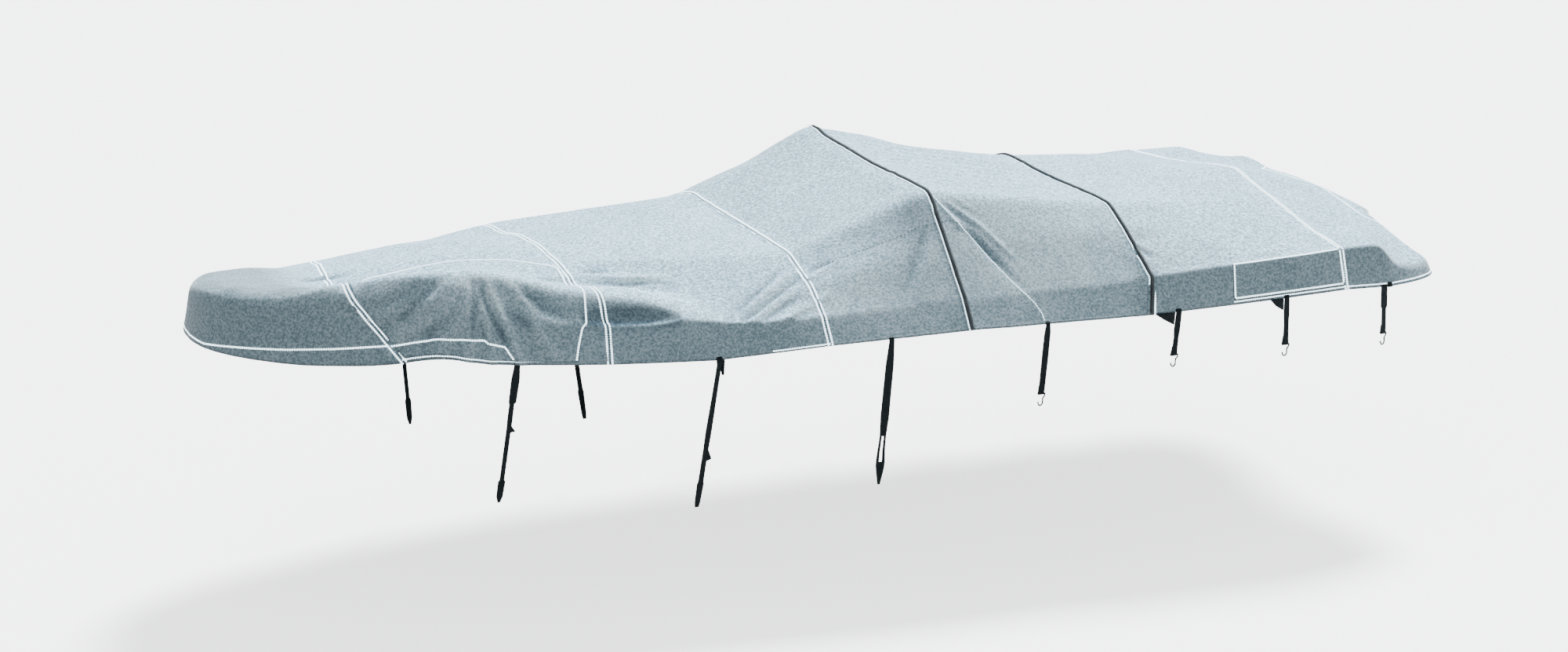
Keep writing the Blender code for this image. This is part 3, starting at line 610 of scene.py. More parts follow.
def fold_lift(table, u, v):
    """Sum of rise * start * exp(-(across / width)^2 - (beyond an end / width)^2)."""
    total = np.zeros(np.broadcast(u, v).shape)
    for u0, v0, u1, v1, width, rise in table:
        run = np.array((u1 - u0, v1 - v0))
        length = np.linalg.norm(run)
        along = ((u - u0) * run[0] + (v - v0) * run[1]) / length
        across = ((u - u0) * run[1] - (v - v0) * run[0]) / length
        beyond = np.maximum(0.0, np.maximum(-along, along - length))
        start = np.clip(along / (FOLD_GROWTH * length), FOLD_ROOT, 1.0)
        total = total + rise * start * np.exp(-(across / width) ** 2 - (beyond / width) ** 2)
    return total


def add_large_folds(panel):
    """Lifts the top by its folds, then pushes port cloth out, and up by a share."""
    grid = panel["grid"]
    grid[..., 2] += fold_lift(TOP_FOLDS, grid[..., 0], grid[..., 1])
    side = panel["share"] ** SIDE_FOLD_FADE * panel["port"]
    lift = side * fold_lift(SIDE_FOLDS, grid[..., 0], grid[..., 2])
    grid[..., :2] += lift[..., None] * panel["out"]
    grid[..., 2] += SIDE_FOLD_UP * lift
    panel["folded"] = lift


for panel in cloth.values():
    add_large_folds(panel)
print("large folds:", len(SIDE_FOLDS) + len(TOP_FOLDS))

# %% [markdown]
# ## Small creases and the ease of the sewing
# Between the large folds lie narrower creases, with a sharper crest than a soft fold, and
# along each seam and hem the thread gathers the cloth into short shallow waves.  Both move
# the cloth along its own normal, so they work on any slope.

# %% Crease the cloth
CREASES = (     # width, rise, sharpness, then the line as (x, y, height above the hem line)
    (0.052, 0.015, 1.6, ((-1.732, -0.696, 0.254), (-1.56, -0.77, 0.23), (-1.394, -0.839, 0.197),
     (-1.261, -0.895, 0.176))),
    (0.045, -0.022, 1.8, ((-1.84, -0.88, 0.17), (-1.72, -0.912, 0.17), (-1.61, -0.922, 0.16),
     (-1.47, -0.95, 0.155), (-1.37, -0.99, 0.15))),
    (0.045, -0.007, 1.6, ((-3.33, -0.25, 0.27), (-3.24, -0.28, 0.27), (-3.16, -0.33, 0.265))),
    (0.04, -0.006, 1.6, ((-3.15, -0.42, 0.33), (-3.02, -0.43, 0.33), (-2.88, -0.42, 0.3))),
    (0.03, 0.005, 1.6, ((-3.26, -0.36, 0.32), (-3.15, -0.48, 0.35), (-2.98, -0.54, 0.37))),
    (0.03, -0.005, 1.6, ((-3.12, -0.2, 0.27), (-2.99, -0.23, 0.27), (-2.85, -0.22, 0.26))),
    (0.029, -0.0075, 1.4, ((-2.188, -0.832, 0.252), (-2.124, -0.861, 0.205),
     (-2.061, -0.893, 0.152))),
    (0.029, 0.0075, 1.4, ((-2.582, -0.667, 0.385), (-2.677, -0.685, 0.34),
     (-2.766, -0.658, 0.28))),
    (0.026, 0.0063, 1.4, ((-2.601, -0.722, 0.302), (-2.676, -0.701, 0.267),
     (-2.755, -0.679, 0.233))),
    (0.023, 0.01, 1.3, ((-2.316, -0.683, 0.382), (-2.404, -0.734, 0.344),
     (-2.484, -0.761, 0.296), (-2.611, -0.746, 0.173), (-2.678, -0.722, 0.137))),
    (0.021, 0.0075, 1.3, ((-2.318, -0.712, 0.367), (-2.389, -0.767, 0.314),
     (-2.436, -0.783, 0.264), (-2.53, -0.781, 0.17))),
    (0.018, 0.0088, 1.3, ((-2.327, -0.725, 0.356), (-2.351, -0.805, 0.269),
     (-2.359, -0.827, 0.165), (-2.372, -0.83, 0.123))),
    (0.016, 0.0075, 1.2, ((-2.292, -0.701, 0.373), (-2.294, -0.804, 0.281),
     (-2.273, -0.847, 0.161), (-2.261, -0.874, 0.093))),
    (0.014, -0.0088, 1.2, ((-2.298, -0.718, 0.363), (-2.301, -0.78, 0.305),
     (-2.288, -0.836, 0.208), (-2.276, -0.853, 0.129), (-2.272, -0.879, 0.052))),
    (0.014, -0.01, 1.2, ((-2.266, -0.72, 0.36), (-2.256, -0.8, 0.287), (-2.228, -0.849, 0.196),
     (-2.198, -0.868, 0.125), (-2.179, -0.893, 0.057))),
    (0.017, 0.0063, 1.2, ((-2.241, -0.695, 0.37), (-2.228, -0.787, 0.3), (-2.203, -0.852, 0.214),
     (-2.17, -0.884, 0.124))),
    (0.021, 0.005, 1.3, ((-2.213, -0.643, 0.373), (-2.141, -0.738, 0.334),
     (-2.114, -0.767, 0.31), (-2.062, -0.829, 0.248), (-2.006, -0.881, 0.2),
     (-1.895, -0.933, 0.111))),
    (0.018, -0.0063, 1.3, ((-2.307, -0.788, 0.297), (-2.332, -0.824, 0.198),
     (-2.336, -0.855, 0.096))),
    (0.021, -0.0063, 1.3, ((-2.403, -0.752, 0.326), (-2.467, -0.776, 0.254),
     (-2.513, -0.784, 0.151), (-2.53, -0.787, 0.08))),
    (0.021, -0.0063, 1.3, ((-2.446, -0.715, 0.358), (-2.568, -0.744, 0.275),
     (-2.655, -0.723, 0.197))),
    (0.026, -0.005, 1.4, ((-2.512, -0.691, 0.373), (-2.647, -0.702, 0.308),
     (-2.771, -0.68, 0.198))),
    (0.019, -0.0063, 1.3, ((-2.117, -0.737, 0.331), (-2.055, -0.794, 0.281),
     (-1.972, -0.856, 0.226), (-1.845, -0.922, 0.174))),
    (0.029, 0.0063, 1.4, ((-3.045, -0.5, 0.315), (-2.959, -0.52, 0.33),
     (-2.851, -0.556, 0.347))),
    (0.026, -0.0063, 1.4, ((-2.915, -0.048, 0.257), (-2.814, -0.025, 0.249),
     (-2.684, -0.057, 0.255))),
    (0.033, 0.005, 1.4, ((-2.885, -0.583, 0.331), (-2.827, -0.63, 0.29),
     (-2.815, -0.647, 0.238))),
    (0.014, -0.005, 1.2, ((-1.68, -0.487, 0.238), (-1.636, -0.515, 0.233),
     (-1.595, -0.531, 0.232), (-1.523, -0.565, 0.223), (-1.374, -0.594, 0.228),
     (-1.296, -0.614, 0.229))),
    (0.016, 0.005, 1.3, ((-1.656, -0.455, 0.254), (-1.506, -0.52, 0.245),
     (-1.289, -0.566, 0.246))),
    (0.014, -0.0037, 1.2, ((-1.66, -0.412, 0.263), (-1.609, -0.43, 0.263),
     (-1.539, -0.452, 0.261))),
    (0.018, 0.005, 1.3, ((-1.722, -0.637, 0.246), (-1.573, -0.702, 0.233),
     (-1.328, -0.665, 0.203))),
    (0.014, -0.005, 1.2, ((-2.018, -0.631, 0.321), (-1.828, -0.449, 0.251),
     (-1.68, -0.487, 0.238))),
    (0.018, -0.0068, 1.3, ((-0.729, -0.69, 0.291), (-0.87, -0.793, 0.236),
     (-0.999, -0.891, 0.183), (-1.183, -1.031, 0.124))),
    (0.014, -0.0118, 1.2, ((-0.705, -0.805, 0.255), (-0.848, -0.894, 0.202),
     (-0.99, -0.975, 0.154), (-1.128, -1.042, 0.107))),
    (0.017, 0.0084, 1.3, ((-0.77, -0.858, 0.231), (-0.911, -0.943, 0.172),
     (-1.069, -1.044, 0.116))),
    (0.014, -0.0084, 1.2, ((-0.756, -0.937, 0.2), (-0.865, -0.975, 0.164),
     (-0.952, -1.024, 0.141), (-1.019, -1.055, 0.11))),
    (0.014, 0.0101, 1.2, ((-0.728, -0.994, 0.174), (-0.847, -1.036, 0.141),
     (-0.937, -1.073, 0.099))),
    (0.014, -0.0068, 1.2, ((-0.728, -1.021, 0.159), (-0.844, -1.066, 0.129),
     (-0.922, -1.075, 0.094))),
    (0.018, 0.0068, 1.3, ((-0.723, -0.744, 0.273), (-0.843, -0.824, 0.229),
     (-1.026, -0.938, 0.163), (-1.133, -1.012, 0.133))),
    (0.014, 0.0051, 1.2, ((-0.507, -0.796, 0.311), (-0.585, -0.821, 0.279),
     (-0.639, -0.836, 0.258), (-0.694, -0.864, 0.24))),
    (0.014, 0.0051, 1.2, ((-0.614, -0.956, 0.206), (-0.658, -0.976, 0.189),
     (-0.72, -1.002, 0.172))),
    (0.014, -0.0051, 1.2, ((-0.534, -0.793, 0.305), (-0.615, -0.798, 0.28),
     (-0.67, -0.788, 0.268))),
    (0.02, -0.005, 1.4, ((-0.092, -0.81, 0.408), (-0.184, -0.918, 0.295),
     (-0.274, -1.023, 0.201), (-0.324, -1.112, 0.134))),
    (0.025, 0.003, 1.4, ((-0.052, -0.835, 0.392), (-0.131, -0.952, 0.275),
     (-0.218, -1.104, 0.152))),
    (0.009, 0.0055, 1.2, ((0.008, -0.68, 0.541), (0.058, -0.75, 0.476), (0.131, -0.843, 0.381),
     (0.24, -1.007, 0.24), (0.306, -1.112, 0.165), (0.347, -1.148, 0.111),
     (0.368, -1.169, 0.059), (0.371, -1.186, 0.02))),
    (0.016, -0.012, 1.5, ((0.091, -0.805, 0.421), (0.133, -0.838, 0.387), (0.206, -0.935, 0.3),
     (0.273, -1.039, 0.213), (0.316, -1.09, 0.177), (0.355, -1.13, 0.155))),
    (0.009, 0.0055, 1.2, ((0.022, -0.679, 0.54), (0.11, -0.739, 0.482), (0.196, -0.805, 0.415),
     (0.278, -0.901, 0.323), (0.356, -1.004, 0.243), (0.389, -1.056, 0.199))),
    (0.009, -0.003, 1.2, ((0.188, -0.969, 0.272), (0.227, -1.028, 0.222),
     (0.262, -1.093, 0.174))),
    (0.009, 0.0025, 1.1, ((0.084, -0.591, 0.548), (0.115, -0.686, 0.525), (0.181, -0.732, 0.483),
     (0.239, -0.756, 0.453))),
    (0.01, -0.003, 1.2, ((0.043, -0.71, 0.514), (0.118, -0.771, 0.452), (0.16, -0.815, 0.409))),
    (0.009, 0.004, 1.1, ((0.954, -0.92, 0.285), (1.003, -0.965, 0.259), (1.059, -1.013, 0.232))),
    (0.009, -0.004, 1.2, ((0.954, -0.946, 0.271), (0.986, -0.991, 0.248),
     (1.015, -1.035, 0.221))),
    (0.009, -0.006, 1.2, ((2.249, -1.105, 0.2), (2.271, -1.116, 0.137), (2.304, -1.127, 0.066),
     (2.331, -1.128, 0.036))),
    (0.014, 0.004, 1.3, ((2.132, -1.119, 0.187), (2.156, -1.138, 0.103),
     (2.194, -1.154, 0.024))),
    (0.012, -0.003, 1.3, ((2.178, -1.115, 0.193), (2.201, -1.134, 0.105),
     (2.231, -1.149, 0.027))),
)
SEAM_RAISE = 0.0010      # four layers under the top stitching
SEAM_DIP = 0.0020        # the folded edges meet in a groove
SEAM_WIDE = 0.015
GATHER = (0.0012, 0.040, 0.050)                      # height, length and reach of the gathers
GATHER_SEED = 9
CREASE_GAIN = 1.8
RIPPLES = (0.0026, 0.112, 0.42, (0.05, 0.22, 0.70, 0.90), (-0.62, -0.45, 0.40, 0.62))
UNEVEN = ((0.0026, 0.260), (0.0011, 0.095), (0.0004, 0.036))     # height and length of each
ROW_OFFSET = 0.0100      # of each stitch row from the seam's groove
SEAM_EDGE = 0.006        # over which a seam's layers slope off
GROOVE_WIDE = 0.0028
SEWN_GROOVE, SEWN_ROW = 0.0026, 0.0060       # widths of the painted shade and dirt in a groove and by its stitches
PALE_TOP_FROM, PALE_TOP_OVER = 0.72, 0.24            # of the normal's upward part, where the top's bleaching and painted highlight begin, and their reach
FOLD_DEEP, CREST_HIGH = 0.010, 0.014         # depth of a trough with full painted shade; height of a crest with full painted highlight
BOW_SHADE_X, BOW_SHADE_OVER, BOW_SHADE_SHARE = -2.80, 0.25, 0.85      # of the painted shade on the bow's top


def grid_normals(grid):
    """Face directions of the grid's cells, averaged at each point."""
    ahead = grid[1:] - grid[:-1]
    across = grid[:, 1:] - grid[:, :-1]
    faces = np.cross(ahead[:, :-1] + ahead[:, 1:], across[:-1] + across[1:])
    padded = np.pad(faces, ((1, 1), (1, 1), (0, 0)), mode="edge")
    normals = padded[:-1, :-1] + padded[:-1, 1:] + padded[1:, :-1] + padded[1:, 1:]
    long = np.linalg.norm(normals, axis=2, keepdims=True)
    return normals / np.maximum(long, 1e-12)


def line_distance(points, line):
    """Distance of each point to a line of points, and the share along it of the nearest."""
    line = np.asarray(line, dtype=float)
    legs = np.diff(line, axis=0)
    long = np.linalg.norm(legs, axis=1)
    before = np.concatenate(((0.0,), np.cumsum(long)))
    best = np.full(points.shape[:-1], 1e9)
    share = np.zeros(points.shape[:-1])
    for start, leg, length, run in zip(line[:-1], legs, long, before):
        t = np.clip(((points - start) @ leg) / length ** 2, 0.0, 1.0)
        away = np.linalg.norm(points - start - t[..., None] * leg, axis=-1)
        nearer = away < best
        best = np.where(nearer, away, best)
        share = np.where(nearer, (run + t * length) / before[-1], share)
    return best, share


def crease_lift(points):
    """Sum of rise * sin(pi * share) ** 0.6 * exp(-(distance / width) ** sharpness)."""
    total = np.zeros(points.shape[:-1])
    for width, rise, sharpness, line in CREASES:
        line = np.array(line)
        near = np.all((points > line.min(axis=0) - 4 * width)
                      & (points < line.max(axis=0) + 4 * width), axis=-1)
        if not near.any():
            continue
        away, share = line_distance(points[near], line)
        fade = np.sin(np.pi * np.clip(share, 0.0, 1.0)) ** 0.6
        total[near] += CREASE_GAIN * rise * fade * np.exp(-(away / width) ** sharpness)
    return total


def soft_noise(flat, length, seed):
    """Random heights on a lattice of the given spacing, read between with the cubic weights."""
    cells = np.random.default_rng(seed).uniform(-1.0, 1.0, (420, 220))
    u, v = flat[..., 0] / length + 210.0, flat[..., 1] / length + 110.0
    i, j = u.astype(int), v.astype(int)
    total = 0.0
    for a, wa in enumerate(cubic_weights(u - i)):
        for b, wb in enumerate(cubic_weights(v - j)):
            total = total + wa * wb * cells[i + a - 1, j + b - 1]
    return total


def unfolded(panel):
    """Plan place, and past the skirt's edge the edge's place + outward * length down to it."""
    grid, out = panel["grid"], panel["out"]
    flat = grid[..., :2].copy()
    on_skirt = np.flatnonzero(panel["share"] >= 1.0)
    for columns in np.split(on_skirt, np.flatnonzero(np.diff(on_skirt) > 1) + 1):
        columns = columns if columns[0] > 0 else columns[::-1]
        strip = grid[:, columns]
        run = np.cumsum(np.linalg.norm(np.diff(strip, axis=1), axis=2), axis=1)
        run = np.concatenate((np.zeros((len(grid), 1)), run), axis=1)
        flat[:, columns] = flat[:, columns[:1]] + out[:, columns] * run[..., None]
    return flat


def seam_profile(away):
    """Raised by the seam's layers, with a groove where the two folded edges meet."""
    raised = SEAM_RAISE * np.clip((SEAM_WIDE - away) / SEAM_EDGE + 1.0, 0.0, 1.0)
    return raised - (SEAM_RAISE + SEAM_DIP) * np.exp(-(away / GROOVE_WIDE) ** 2)


def seam_distances(panel):
    """Distance of each grid point to the seam, or to each of the two seams, of its panel."""
    if "x" not in panel:
        return [line_distance(panel["grid"], panel["grid"][rib, ::3])[0] for rib in (0, -1)]
    x = panel["x"][:, None] + 0.0 * panel["share"]
    return [x - panel["x"][0], panel["x"][-1] - x]


def ripples(grid):
    """Shallow waves along the cockpit's top: sin(2 pi (y + slope x) / length) in a window."""
    height, length, slope, along, across = RIPPLES
    x, y = grid[..., 0], grid[..., 1]
    window = np.interp(x, along, (0, 1, 1, 0)) * np.interp(y, across, (0, 1, 1, 0))
    return height * window * np.sin(2 * np.pi * (y + slope * x + 0.03 * np.sin(7.0 * x)) / length)


def ease_cloth(panel):
    """Adds creases, seam layers, gathers beside seams and hem, and a slight unevenness."""
    grid = panel["grid"]
    panel["flat"] = unfolded(panel)
    creased = crease_lift(grid) + ripples(grid)
    lift = creased + sum(height * soft_noise(panel["flat"], length, k)
                         for k, (height, length) in enumerate(UNEVEN))
    height, length, reach = GATHER
    fine = height * soft_noise(panel["flat"], length, GATHER_SEED)
    # Painted shade and dirt in each seam's groove, beside its stitch rows, and along the hem.
    panel["sewn"] = np.zeros(grid.shape[:2])
    for away in seam_distances(panel):
        lift = lift + seam_profile(away) + fine * np.exp(-(away / reach) ** 2)
        panel["sewn"] += (0.8 * np.exp(-(away / SEWN_GROOVE) ** 2)
                          + 0.35 * np.exp(-((away - ROW_OFFSET) / SEWN_ROW) ** 2))
    for hem in (0, -1) if "x" in panel else (-1,):
        below = np.linalg.norm(grid - grid[:, hem][:, None], axis=2)
        lift = lift + fine * np.exp(-(below / reach) ** 2)
        panel["sewn"] += 0.5 * np.exp(-(below / 0.006) ** 2)
    normals = grid_normals(grid)
    if "x" not in panel:
        normals *= panel["facing"]
        lift = lift * np.clip(np.linalg.norm(grid - grid[:1, :1], axis=2) / 0.05, 0.0, 1.0)
    panel["grid"] = grid + normals * lift[..., None]
    panel["grid"][..., 2] -= HELD_HEIGHT
    panel["normals"] = grid_normals(panel["grid"]) * panel["facing"]
    if "x" not in panel:
        panel["normals"][:, 0] = (0.0, 0.0, 1.0)
    # Cloth that faces up gets a paler top, partly sun bleaching and partly a painted highlight.
    panel["bleach_and_painted_highlight"] = np.clip((panel["normals"][..., 2] - PALE_TOP_FROM) / PALE_TOP_OVER, 0.0, 1.0)
    # Crease troughs get painted shade.
    panel["painted_shade"] = np.clip(-creased / FOLD_DEEP, 0.0, 1.0)
    # Crests of creases and large folds get a painted highlight.
    panel["painted_crest_highlight"] = np.clip((creased + panel["folded"]) / CREST_HIGH, 0.0, 1.0)
    # The bow's top gets painted shade in place of its paler top.
    bow_shade = np.clip((BOW_SHADE_X - grid[..., 0]) / BOW_SHADE_OVER, 0.0, 1.0) * panel["bleach_and_painted_highlight"]
    panel["painted_shade"] = np.clip(panel["painted_shade"] + BOW_SHADE_SHARE * bow_shade, 0.0, 1.0)
    panel["bleach_and_painted_highlight"] = panel["bleach_and_painted_highlight"] * (1.0 - bow_shade)


for name, panel in cloth.items():
    panel["facing"] = -1.0 if name == "stern" else 1.0
    ease_cloth(panel)
    print(name, "faces up:", bool(panel["normals"][..., 2].mean() > 0.0))

# %% [markdown]
# ## Flat patterns
# The weave must run straight through a panel as it does in cloth cut from the roll.  So each
# point gets a place on the flat: its plan over the deck, and past the skirt's top edge the
# length of skirt down to it, laid outwards.  The same places give each panel's cut size.

# %% Unfold the panels and make their meshes


def grid_faces(rows, columns):
    """Quads of a grid, whose front is up where rows run aft and columns to starboard."""
    corner = np.arange(rows * columns).reshape(rows, columns)
    return np.stack((corner[:-1, :-1], corner[1:, :-1], corner[1:, 1:], corner[:-1, 1:]),
                    axis=-1).reshape(-1, 4)


def make_piece(name, points, faces, finish, flat=None, thickness=0.0, marks=None):
    """A mesh piece from arrays, smooth, with its flat pattern as a UV map in metres.

    marks are named numbers from 0 to 1, one for each point, that the finish reads."""
    mesh = bpy.data.meshes.new(name)
    mesh.from_pydata(np.asarray(points).reshape(-1, 3).tolist(), [],
                     [list(face) for face in faces])
    mesh.materials.append(finish)
    if flat is not None:
        corners = np.empty(len(mesh.loops), dtype=np.int32)
        mesh.loops.foreach_get("vertex_index", corners)
        pattern = mesh.uv_layers.new(name="pattern")
        pattern.data.foreach_set("uv", np.asarray(flat).reshape(-1, 2)[corners].ravel())
    for mark, values in (marks or {}).items():
        layer = mesh.attributes.new(mark, "FLOAT", "POINT")
        layer.data.foreach_set("value", np.clip(values, 0.0, 1.0).ravel().astype(np.float32))
    mesh.shade_smooth()
    piece = bpy.data.objects.new(name, mesh)
    bpy.context.scene.collection.objects.link(piece)
    if thickness:
        wall = piece.modifiers.new("thickness", "SOLIDIFY")
        wall.thickness = thickness
        wall.offset = 0.0
    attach(piece, "root")
    return piece


def fan_points_and_faces(panel):
    """A fan's ribs share their first point, so that its pole is closed."""
    rows, columns = panel["grid"].shape[:2]
    keep = np.arange(rows * columns).reshape(rows, columns)
    keep[:, 0] = 0
    order = np.concatenate(((0,), keep[:, 1:].ravel()))
    number = np.full(rows * columns, -1)
    number[order] = np.arange(len(order))
    corner = number[keep]
    tips = np.stack((corner[:-1, 0], corner[1:, 1], corner[:-1, 1]), axis=-1)
    quads = np.stack((corner[:-1, 1:-1], corner[1:, 1:-1], corner[1:, 2:], corner[:-1, 2:]),
                     axis=-1).reshape(-1, 4)
    faces = [face.tolist() for face in tips] + [face.tolist() for face in quads]
    if panel["facing"] < 0.0:
        faces = [face[::-1] for face in faces]
    return order, faces


def flat_size(flat, area_of):
    """Width and length of the cut's box, and its area summed over the cells."""
    low, high = flat.reshape(-1, 2).min(axis=0), flat.reshape(-1, 2).max(axis=0)
    ahead, across = np.diff(area_of, axis=0)[:, :-1], np.diff(area_of, axis=1)[:-1]
    area = np.linalg.norm(np.cross(ahead, across), axis=2).sum()
    return tuple(float(v) for v in high - low), float(area)


def longest_lines(places):
    """The longest line fore and aft on the surface, and the longest from hem to hem."""
    ahead = np.linalg.norm(np.diff(places, axis=0), axis=2).sum(axis=0).max()
    across = np.linalg.norm(np.diff(places, axis=1), axis=2).sum(axis=1).max()
    return float(ahead), float(across)


canvas, canvas_shader = principled("canvas_cloth", (0.50, 0.58, 0.62), 0.88)
for name, panel in cloth.items():
    flat = panel["flat"]
    if "x" in panel:
        order = np.arange(flat.shape[0] * flat.shape[1])
        faces = grid_faces(*panel["grid"].shape[:2])
    else:
        order, faces = fan_points_and_faces(panel)
    marks = {mark: panel[mark].ravel()[order] for mark in ("sewn", "bleach_and_painted_highlight", "painted_shade", "painted_crest_highlight")}
    piece = make_piece("cloth_" + name, panel["grid"].reshape(-1, 3)[order], faces, canvas,
                       flat.reshape(-1, 2)[order], CLOTH, marks)
    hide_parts("panel_" + name)
    size, area = flat_size(flat, panel["grid"])
    if "x" in panel:     # a panel that climbs needs more cloth than its pattern's box
        size = tuple(map(max, size, longest_lines(panel["grid"])))
    print(piece.name, "cut", np.round(size, 2), "area", round(area, 2))

# %% [markdown]
# ## Second layers
# Where the cover rubs, a second layer of canvas is sewn on: a long one over the port side of
# the foredeck, down over the skirt, and a strip on each side of the stern.  Each is read off
# its panel's grid and lifted along the normals, so it follows every fold below it.  The long
# one reaches up to 23 cm beyond the solids' patch, and each stern strip up to 5 cm beyond its own.

# %% Lay on the patches
LIFT = (CLOTH + PATCH) / 2 + LAYER_GAP


def read_grid(values, row, column):
    """A grid's values between its points: the four nearest, weighted by closeness."""
    row = np.clip(row, 0.0, values.shape[0] - 1.000001)
    column = np.clip(column, 0.0, values.shape[1] - 1.000001)
    i, j = row.astype(int), column.astype(int)
    a, b = (row - i)[..., None], (column - j)[..., None]
    return ((1 - a) * (1 - b) * values[i, j] + a * (1 - b) * values[i + 1, j]
            + (1 - a) * b * values[i, j + 1] + a * b * values[i + 1, j + 1])


def unit(vectors):
    """The same directions, one long."""
    return vectors / np.maximum(np.linalg.norm(vectors, axis=-1, keepdims=True), 1e-12)


def rib_column(panel, out, side):
    """The grid column that lies out of the way down a rib: 0 centreline, 1 skirt edge, 2 hem."""
    total = panel["grid"].shape[1]
    deck = int((panel["share"] < 1.0).sum() + ("x" in panel)) // (2 if "x" in panel else 1)
    bend, hem = deck + (BEND_STEPS - 1) / 2.0, (total - 1) // 2 if "x" in panel else total - 1
    place = np.interp(out, (0.0, 1.0, 2.0), (0.0, bend, hem))
    middle = (total - 1) // 2 if "x" in panel else 0
    return middle + side * place


def panel_point(name, x, out, side):
    """Place and normal on a cross panel at x of the centreline and out of the way down."""
    panel = cloth[name]
    x, out = np.broadcast_arrays(np.asarray(x, dtype=float), np.asarray(out, dtype=float))
    row = np.interp(x, panel["x"], np.arange(len(panel["x"])))
    column_at = rib_column(panel, out, side)
    return (read_grid(panel["grid"], row, column_at),
            unit(read_grid(panel["normals"], row, column_at)),
            read_grid(panel["flat"], row, column_at))


def make_patch(name, panel_name, side, ends, reach, counts):
    """A second layer between two ends along x and two edges, each a function of the other.

    For shares s along and t out: out = top + t * (bottom - top), x = fore + s * (aft - fore)."""
    s, t = np.meshgrid(np.linspace(0, 1, counts[0]), np.linspace(0, 1, counts[1]), indexing="ij")
    x = ends[0](t) + s * (ends[1](t) - ends[0](t))
    out = reach[0](x) + t * (reach[1](x) - reach[0](x))
    places, normals, flat = panel_point(panel_name, x, out, side)
    marks = {mark: panel_value(panel_name, mark, x, out, side)
             for mark in ("bleach_and_painted_highlight", "painted_shade", "painted_crest_highlight")}
    border = np.minimum(np.minimum(s, 1 - s) * counts[0], np.minimum(t, 1 - t) * counts[1])
    # Painted shade and dirt along the patch's sewn border.
    marks["sewn"] = 0.8 * np.exp(-border ** 2)
    faces = grid_faces(*counts)
    if side < 0:
        faces = faces[:, ::-1]
    piece = make_piece(name, places + normals * LIFT, faces, canvas, flat, PATCH, marks)
    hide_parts(name)
    return piece


def panel_value(name, mark, x, out, side):
    """One of a cross panel's marks, read at x and out of the way down."""
    panel = cloth[name]
    row = np.interp(x, panel["x"], np.arange(len(panel["x"])))
    return read_grid(panel[mark][..., None], row, rib_column(panel, out, side))[..., 0]


BOW_PATCH_TOP = ((-2.760, -2.56, -2.324, -2.084, -1.927, -1.84, -1.749),
                 (0.34, 0.20, 0.114, 0.132, 0.19, 0.272, 0.345))
BOW_PATCH_X = (-2.760, -1.745)
BOW_PATCH_BOTTOM = 1.93
BOW_PATCH_SLANT = (0.0, 0.03, 0.075, 0.145)      # its aft edge runs forward as it goes down
STERN_PATCH_X = (1.356, 1.985)
STERN_PATCH_OUT = (0.985, 1.90)


def constant(value):
    """The same value wherever it is asked for."""
    return lambda place: value + 0.0 * np.asarray(place)


def bow_patch_top(x):
    """Its top edge, a wavering line."""
    return np.interp(x, *BOW_PATCH_TOP)


def bow_patch_aft(share):
    """Its aft edge, straight over the deck and slanting down the skirt."""
    return BOW_PATCH_X[1] - np.interp(share, (0.0, 0.3, 0.45, 1.0), BOW_PATCH_SLANT)


make_patch("patch_bow_port", "foredeck", -1, (constant(BOW_PATCH_X[0]), bow_patch_aft),
           (bow_patch_top, constant(BOW_PATCH_BOTTOM)), (96, 120))
stern_ends = (constant(STERN_PATCH_X[0]), constant(STERN_PATCH_X[1]))
stern_reach = (constant(STERN_PATCH_OUT[0]), constant(STERN_PATCH_OUT[1]))
for side, name in ((-1, "port"), (1, "starboard")):
    make_patch("patch_stern_" + name, "rear", side, stern_ends, stern_reach, (60, 26))

# %% [markdown]
# ## Piping
# A cord in a folded strip stands up in two seams, at the windscreen's top and behind the
# cockpit.  It is more than twice as thick as the solids' cord, to read from afar.  A tube is a
# ring carried along a line: each ring lies square to the line, spanned by the cloth's normal
# and the direction across.

# %% Run the cords along their seams
dark_cord, dark_cord_shader = principled("piping_cord", (0.02, 0.03, 0.035), 0.8)


def along_line(line):
    """Unit direction of a line of points at each of them."""
    return unit(np.gradient(np.asarray(line, dtype=float), axis=0))


def line_run(line):
    """Distance along a line of points, from its start."""
    return np.concatenate(((0.0,), np.cumsum(np.linalg.norm(np.diff(line, axis=0), axis=1))))


def resample(values, run, places):
    """Rows of values, given at the distances run, read at the distances places."""
    return np.column_stack([np.interp(places, run, values[:, k]) for k in range(values.shape[1])])


def make_tube(name, line, normals, radius, finish, sides=12):
    """p + radius * (cos a * normal + sin a * across) for each point p; the ends are capped."""
    line = np.asarray(line, dtype=float)
    ahead = along_line(line)
    across = unit(np.cross(ahead, normals))
    up = np.cross(across, ahead)
    turn = np.linspace(0.0, 2.0 * np.pi, sides, endpoint=False)[None, :, None]
    ring = line[:, None] + radius * (np.cos(turn) * up[:, None] + np.sin(turn) * across[:, None])
    count = len(line)
    corner = np.arange(count * sides).reshape(count, sides)
    after = np.roll(corner, -1, axis=1)
    walls = np.stack((corner[:-1], after[:-1], after[1:], corner[1:]), axis=-1).reshape(-1, 4)
    faces = walls.tolist() + [corner[0, ::-1].tolist(), corner[-1].tolist()]
    around = np.broadcast_to(turn[..., 0] * radius, (count, sides))
    flat = np.stack((np.broadcast_to(line_run(line)[:, None], (count, sides)), around), axis=-1)
    return make_piece(name, ring, faces, finish, flat)


def seam_line(panel_name, last=False):
    """The line of a cross panel's first or last rib, with the normals just beyond its groove."""
    panel = cloth[panel_name]
    row, level_row = (-1, -1 - BEYOND_GROOVE) if last else (0, BEYOND_GROOVE)
    return panel["grid"][row], panel["normals"][level_row]


